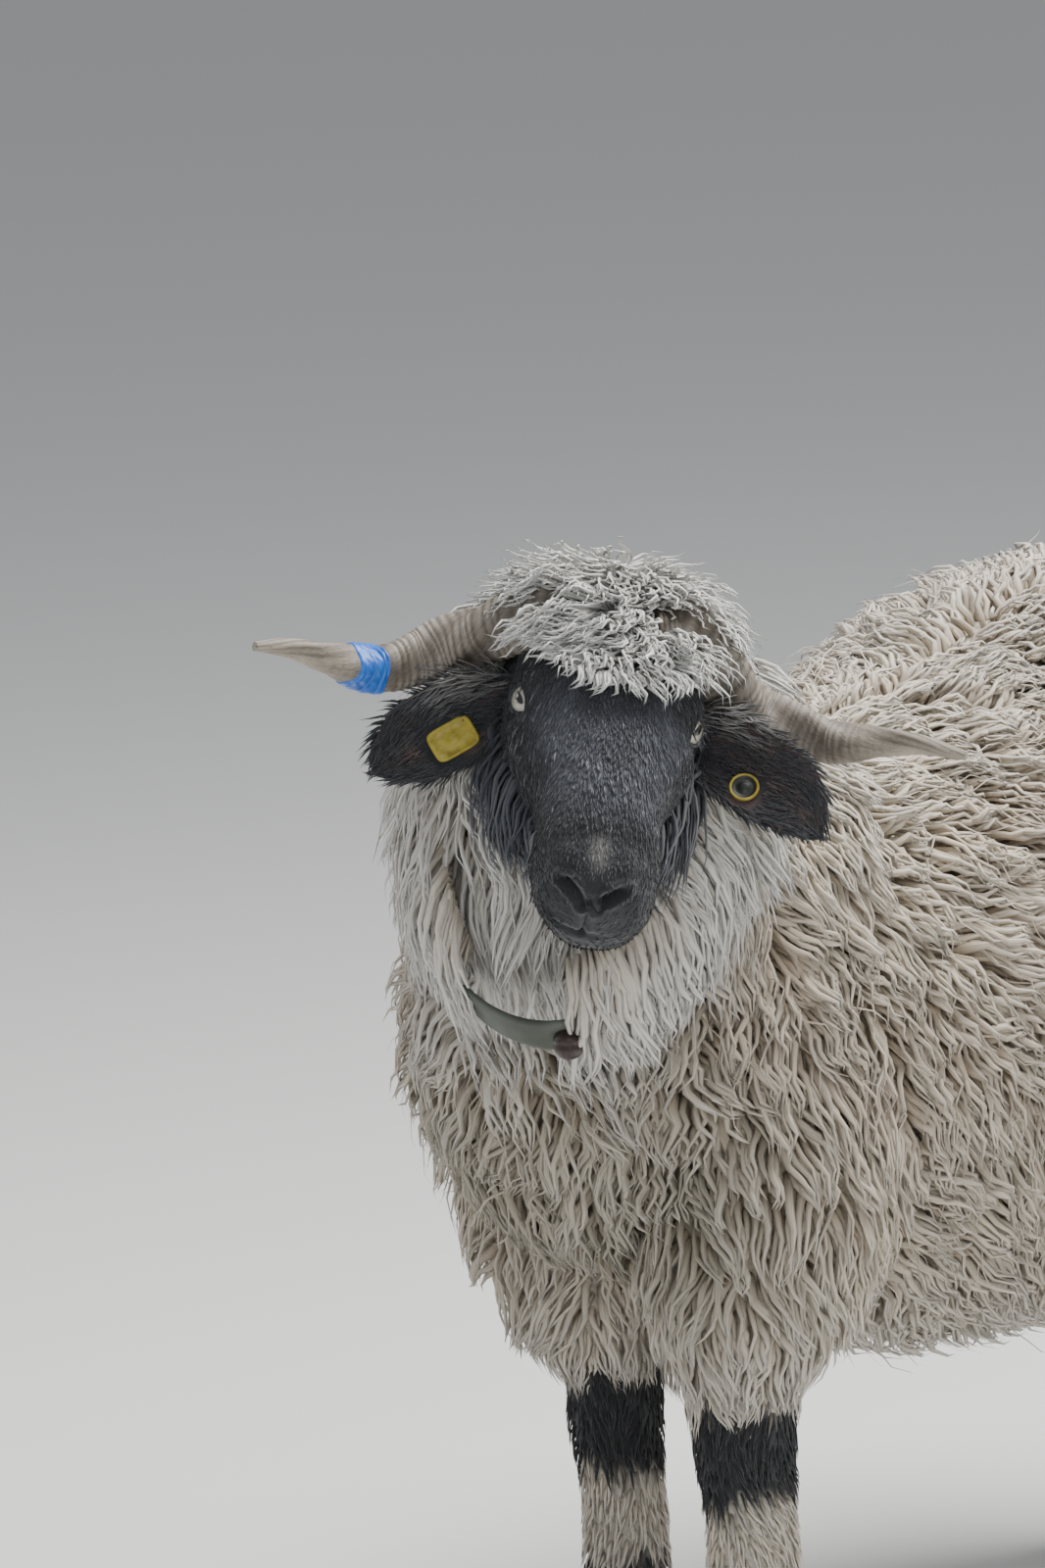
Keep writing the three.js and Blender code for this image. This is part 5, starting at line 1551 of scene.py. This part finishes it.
def head_roots(apart, seed):
    """Roots on the skin of the head, clear of the neck: places along it, angles, points and normals."""
    nose, a = head_scatter(apart, seed)
    base = on_head(head_section(nose, a))
    ahead = change(lambda x: on_head(head_section(x, a)), nose, 2, HEAD_START, HEAD_END)
    around = change(lambda x: on_head(head_section(nose, x)), a, 0.05)
    out = unit(np.cross(around, ahead))
    core = np.stack([0 * nose, nose, HEAD_MIDDLE + 0 * nose], -1)
    out = out * np.where(dot(out, base - on_head(core)) < 0, -1, 1)[:, None]
    roots, normals, keep = on_skin(base, out)
    keep &= ~neck.holds(roots, lambda t: CORE_DEPTH + 3)
    return kept(keep, nose, a, roots, normals)


def head_chart(box, nose, angle):
    return wrapped(box, angle, (nose - HEAD_START) / 264)


def clear_of_horns(roots, room=1.5):
    free = np.ones(len(roots), bool)
    local = in_head(roots)
    for shape in horn_shapes:
        for row in through(shape["rows"])(np.linspace(0, 0.6, 60)):
            free &= np.linalg.norm(local - mirrored(row[:3], shape["side"]), axis=1) > row[3] + room
    return free


def near_eyes(local):
    """The distance to the nearer eye, and the same in the shape of its slit, where its edge is 1."""
    away, slit = [], []
    for side in (1, -1):
        rel = local - mirrored(EYE_PLACE, side)
        away.append(np.linalg.norm(rel, axis=1))
        a, b = rel @ mirrored(EYE_LONG, side) / SLIT_LONG, rel @ mirrored(EYE_HIGH, side) / SLIT_HIGH
        slit.append(np.sqrt(a ** 2 + b ** 2))
    return np.minimum(*away), np.minimum(*slit)


def nostril_or_lip(local):
    d, _ = near_line(local, dense(mouth_line, 60))
    near = d < 3.0
    for side in (1, -1):
        d, _ = near_line(local, dense(mirrored(nostril_line, side), 20))
        near |= d < 4.6
    return near


FACE_SPACING = 2.25
face_spacing = FACE_SPACING
nose, a, roots, outs = head_roots(face_spacing, 104)
local = in_head(roots)
u, f, n = local.T
outwards = 0.35 * np.sign(u) * smoothstep(np.abs(u), 10, 45)
lies = head_direction(np.stack([outwards, 0.9 + 0 * u, -0.25 + 0 * u], -1))
eye_away, slit_away = near_eyes(local)
open_eye = (slit_away < 1.25) & (eye_away < 24) | (eye_away <= EYE_RADIUS + 0.3)
nose_tip = (np.abs(u) < 10) & (f > 152)
keep = (cap_share(local) < 0.5) & ~nostril_or_lip(local) & ~open_eye & clear_of_horns(roots) & ~nose_tip
random = np.random.default_rng(77)
muzzle = smoothstep(f, 95, 140)
cheek = smoothstep(-n, 30, 62) * (1 - smoothstep(f, 60, 110))
behind = smoothstep(-f, 20, 60)
fur_length = 8.5 - 3.0 * muzzle + 9.0 * cheek + 6.0 * behind
rise = 1.3 - 0.6 * muzzle + 3.5 * cheek + 1.5 * behind
base = head_colour(roots) * varied(random, len(roots), 0.28, -1.5)[:, None]
grey = (random.random(len(roots)) < 0.05)[:, None] * (1 - muzzle * 0.7)[:, None]
base = base * (1 - grey) + np.array([0.24, 0.25, 0.28]) * grey
nose, a, roots, outs, lies, fur_length, rise, cheek, base = kept(
    keep, nose, a, roots, outs, lies, fur_length, rise, cheek, base)
grown = grow(roots, outs, lies, 204, length=fur_length, lift=rise,
             width=(1.9 + 1.2 * cheek) * face_spacing / FACE_SPACING,
             clump=6, pull=0.35, curl=0.35, waves=0.7, sink=0.8, rings=3, spread=0.22, flat=0.3)
# roots darker and tips brighter than the face's colour: painted shade deep in the fur and painted highlight
# on its tips
tufts("face_fur", grown, root_and_tip(base * 0.7, base * 1.25), head_chart(FACE_BOX, nose, a), BLACK_HAIR)

# The beard of longer wool under the jaw and behind the cheeks
nose, a, roots, outs = head_roots(5.2, 106)
u, f, n = in_head(roots).T
keep = (n < -30) & (f < 108) & (f > -88)
keep &= (np.abs(u) > 44 - 12 * smoothstep(f, 50, 90)) | (n < -56)
nose, a, roots, outs, f = kept(keep, nose, a, roots, outs, f)
front, further = smoothstep(f, 10, 60), smoothstep(f, 55, 108)
grown = grow(roots, outs, np.array([0.0, -0.1, -1.0]) + 0.3 * outs, 206,
             length=60 - 24 * front - 17 * further, lift=20 - 7 * front - 8 * further,
             width=(5.8 - 1.6 * further) * size,
             clump=22, pull=0.6, curl=4.0, waves=1.5, droop=10.0, rings=7, spread=0.45)
share = np.clip(smoothstep(f, -78, -38) + 0.2 * noise(roots, 20, 17), 0, 1)
# from white behind to slate in front; roots darker and tips brighter, as painted shade deep in the beard and
# painted highlight on its tips
dark = mix(WHITE * 0.75, SLATE * 0.5, share)
pale = mix(WHITE * 1.05, SLATE * 1.15, np.clip(share * 1.15 - 0.15, 0, 1))
tufts("beard", grown, root_and_tip(dark, pale, 0.92), head_chart(CROWN_BOX, nose, a), WHITE_WOOL)

# The cap of wool between the horns
CAP_SPACING = 2.6
cap_spacing = CAP_SPACING
nose, a, roots, outs = head_roots(cap_spacing, 105)
keep = (cap_share(in_head(roots)) > 0.3) & clear_of_horns(roots, -9.0)
nose, a, roots, outs = kept(keep, nose, a, roots, outs)
u, f, n = in_head(roots).T
lies = head_direction(np.stack([0.9 * u / 40, 0.8 + 0 * u, -0.2 + 0 * u], -1)) + np.array([0, 0, -0.3])
crownward = smoothstep(-f, -10, 60)
grown = grow(roots, outs, lies, 205, length=31 + 9 * crownward, lift=15 + 13 * crownward,
             width=5.6 * cap_spacing / CAP_SPACING,
             clump=18, pull=0.4, curl=4.4, waves=1.6, sink=2.0, rings=7, droop=2.0, spread=0.7)
white = WHITE + 0 * roots
# one white, darker at the roots as painted shade and brighter at the tips as painted highlight
colours = root_and_tip(white * 0.86, white * 1.12, 0.92)
tufts("cap_wool", grown, colours, head_chart(CROWN_BOX, nose, a), WHITE_WOOL)

# Ears: short fur on both faces, longer along the rims
EAR_SPACING = 2.7
ear_spacing = EAR_SPACING
# How far the fur keeps from a tag's stud: round the two plates, and behind the ear
ROUND_ROOM, LONG_ROOM, BACK_ROOM = 12.5, 18.0, 9
EAR_AREA, EAR_FACES = 150 * 48, 2.2  # square millimetres of one face, and the faces with a little over


def ear_fur_colour(roots, t, u, front, woolly):
    """Black and slate, with a pink streak inside, paler on the back at the root and in the wool there."""
    base = mix(BLACK, SLATE, np.clip(0.15 + 0.4 * noise(roots, 14, 15) + 0.35 * (1 - t) * (~front), 0, 1))
    streak = front * hump(u, 0.1, 0.28) * band(t, 0.3, 0.5, 0.78, 0.9)
    base = mix(base, PINK * 1.1, 0.65 * streak * np.clip(0.6 + noise(roots, 10, 16), 0, 1))
    base = mix(base, WHITE * 0.4, (~front) * (1 - smoothstep(t, 0.0, 0.35)) * 0.5)
    return mix(base, WHITE * 0.5, 0.75 * woolly * np.clip(0.7 + noise(roots, 12, 18), 0, 1))


for number, ear in enumerate(ears):
    random = np.random.default_rng(130 + number)
    n = int(EAR_AREA / ear_spacing ** 2 * EAR_FACES)
    t = random.random(n) * 0.96 + 0.03
    u = random.random(n) * 2 - 1
    front = random.random(n) < 0.5
    t, u, front = kept(random.random(n) < ear_shape(t)[:, 0] / 28, t, u, front)
    outward = np.where(front, 1, -1)
    depth = outward * ear_thick(t, u) / 2
    roots = ear_point(ear, t, u, depth)
    ahead = change(lambda x: ear_point(ear, x, u, depth), t, 0.01, 0, 1)
    around = change(lambda x: ear_point(ear, t, x, depth), u, 0.02, -1, 1)
    outs = unit(np.cross(ahead, around))
    face = head_direction(mirrored(ear_frame(ear, t)[3], ear["side"]))
    outs = outs * np.where(dot(outs, face) * outward < 0, -1, 1)[:, None]
    rim = smoothstep(np.abs(u), 0.7, 1.0)
    lies = unit(ahead) + 0.35 * unit(around) * np.sign(u)[:, None] * rim[:, None]
    tag_away = np.linalg.norm(in_head(roots) - mirrored(tag_frame(ear)[0], ear["side"]), axis=1)
    keep = tag_away > np.where(front, ROUND_ROOM if number == 0 else LONG_ROOM, BACK_ROOM)
    above = (roots - ear_point(ear, t, 0 * u, depth))[:, 2]
    woolly = smoothstep(above, 4, 14) * (1 - smoothstep(t, 0.2, 0.55))
    base = ear_fur_colour(roots, t, u, front, woolly) * varied(random, len(t), 0.3, -1.5)[:, None]
    t, u, front, roots, outs = kept(keep, t, u, front, roots, outs)
    lies, rim, woolly, base = kept(keep, lies, rim, woolly, base)
    grown = grow(roots, outs, lies, 230 + number, length=9 + 6 * rim + 9 * woolly,
                 lift=1.8 + 0.8 * rim + 4 * woolly, width=2.3 * ear_spacing / EAR_SPACING,
                 clump=7, pull=0.35, curl=0.5, waves=0.8, sink=0.7, rings=3, spread=0.3, flat=0.3)
    charts = chart((0.02 + 0.19 * number, 0.86, 0.20 + 0.19 * number, 0.98), (u + 1) / 4 + 0.5 * front, t)
    # roots darker and tips brighter than the ear's colour: painted shade deep in the fur and painted
    # highlight on its tips
    tufts("ear_fur_" + ear["name"], grown, root_and_tip(base * 0.7, base * 1.2), charts, BLACK_HAIR)

# Floor, light and camera
FLOOR_HALF = 14  # metres
floor_mesh = bpy.data.meshes.new("floor")
floor_mesh.from_pydata([(x * FLOOR_HALF, y * FLOOR_HALF, 0) for x, y in ((-1, -1), (1, -1), (1, 1), (-1, 1))],
                       [], [(0, 1, 2, 3)])
floor_material, _, shader = new_material("floor_plain", 0.9)
shader.inputs["Base Color"].default_value = (0.8, 0.8, 0.79, 1)
floor = new_object("floor", floor_mesh, floor_material)

sky = bpy.data.worlds.new("studio")
bpy.context.scene.world = sky
sky.use_nodes = True
background = sky.node_tree.nodes["Background"]
background.inputs["Color"].default_value = (0.92, 0.95, 1.0, 1)
background.inputs["Strength"].default_value = 0.34


def area_light(name, place, aim, size, power, colour):
    """A square lamp, with its place and what it points at in metres and its power in watts."""
    data = bpy.data.lights.new(name, "AREA")
    data.energy, data.size, data.color = power, size, colour
    lamp = bpy.data.objects.new(name, data)
    lamp.location = place
    lamp.rotation_mode = "QUATERNION"
    lamp.rotation_quaternion = (Vector(aim) - Vector(place)).to_track_quat("-Z", "Y")
    bpy.context.scene.collection.objects.link(lamp)


area_light("overhead", (0.6, 0.9, 3.2), aim=(0, 0, 0.5), size=2.4, power=225, colour=(1, 0.99, 0.97))
area_light("front_fill", (2.6, -3.2, 2.2), aim=(0.1, -0.4, 0.6), size=2.0, power=30, colour=(0.95, 0.97, 1))
area_light("left_fill", (-3.0, -1.6, 1.8), aim=(0, -0.2, 0.5), size=2.0, power=28, colour=(1, 1, 1))

camera_data = bpy.data.cameras.new("camera")
camera_data.lens, camera_data.sensor_width, camera_data.clip_end = 300, 36, 100
camera = bpy.data.objects.new("camera", camera_data)
bpy.context.scene.collection.objects.link(camera)
# The camera's place, and its axes to the right, up and backwards
CAMERA_PLACE = np.array([5309.7, -7248.4, 2223.9])
CAMERA_AXES = [(0.79253, 0.60766, -0.05154), (-0.06552, 0.16887, 0.98346), (0.60631, -0.77604, 0.17365)]
turned = Matrix(CAMERA_AXES).transposed().to_4x4()
turned.translation = Vector(world(CAMERA_PLACE))
camera.matrix_world = turned
bpy.context.scene.camera = camera
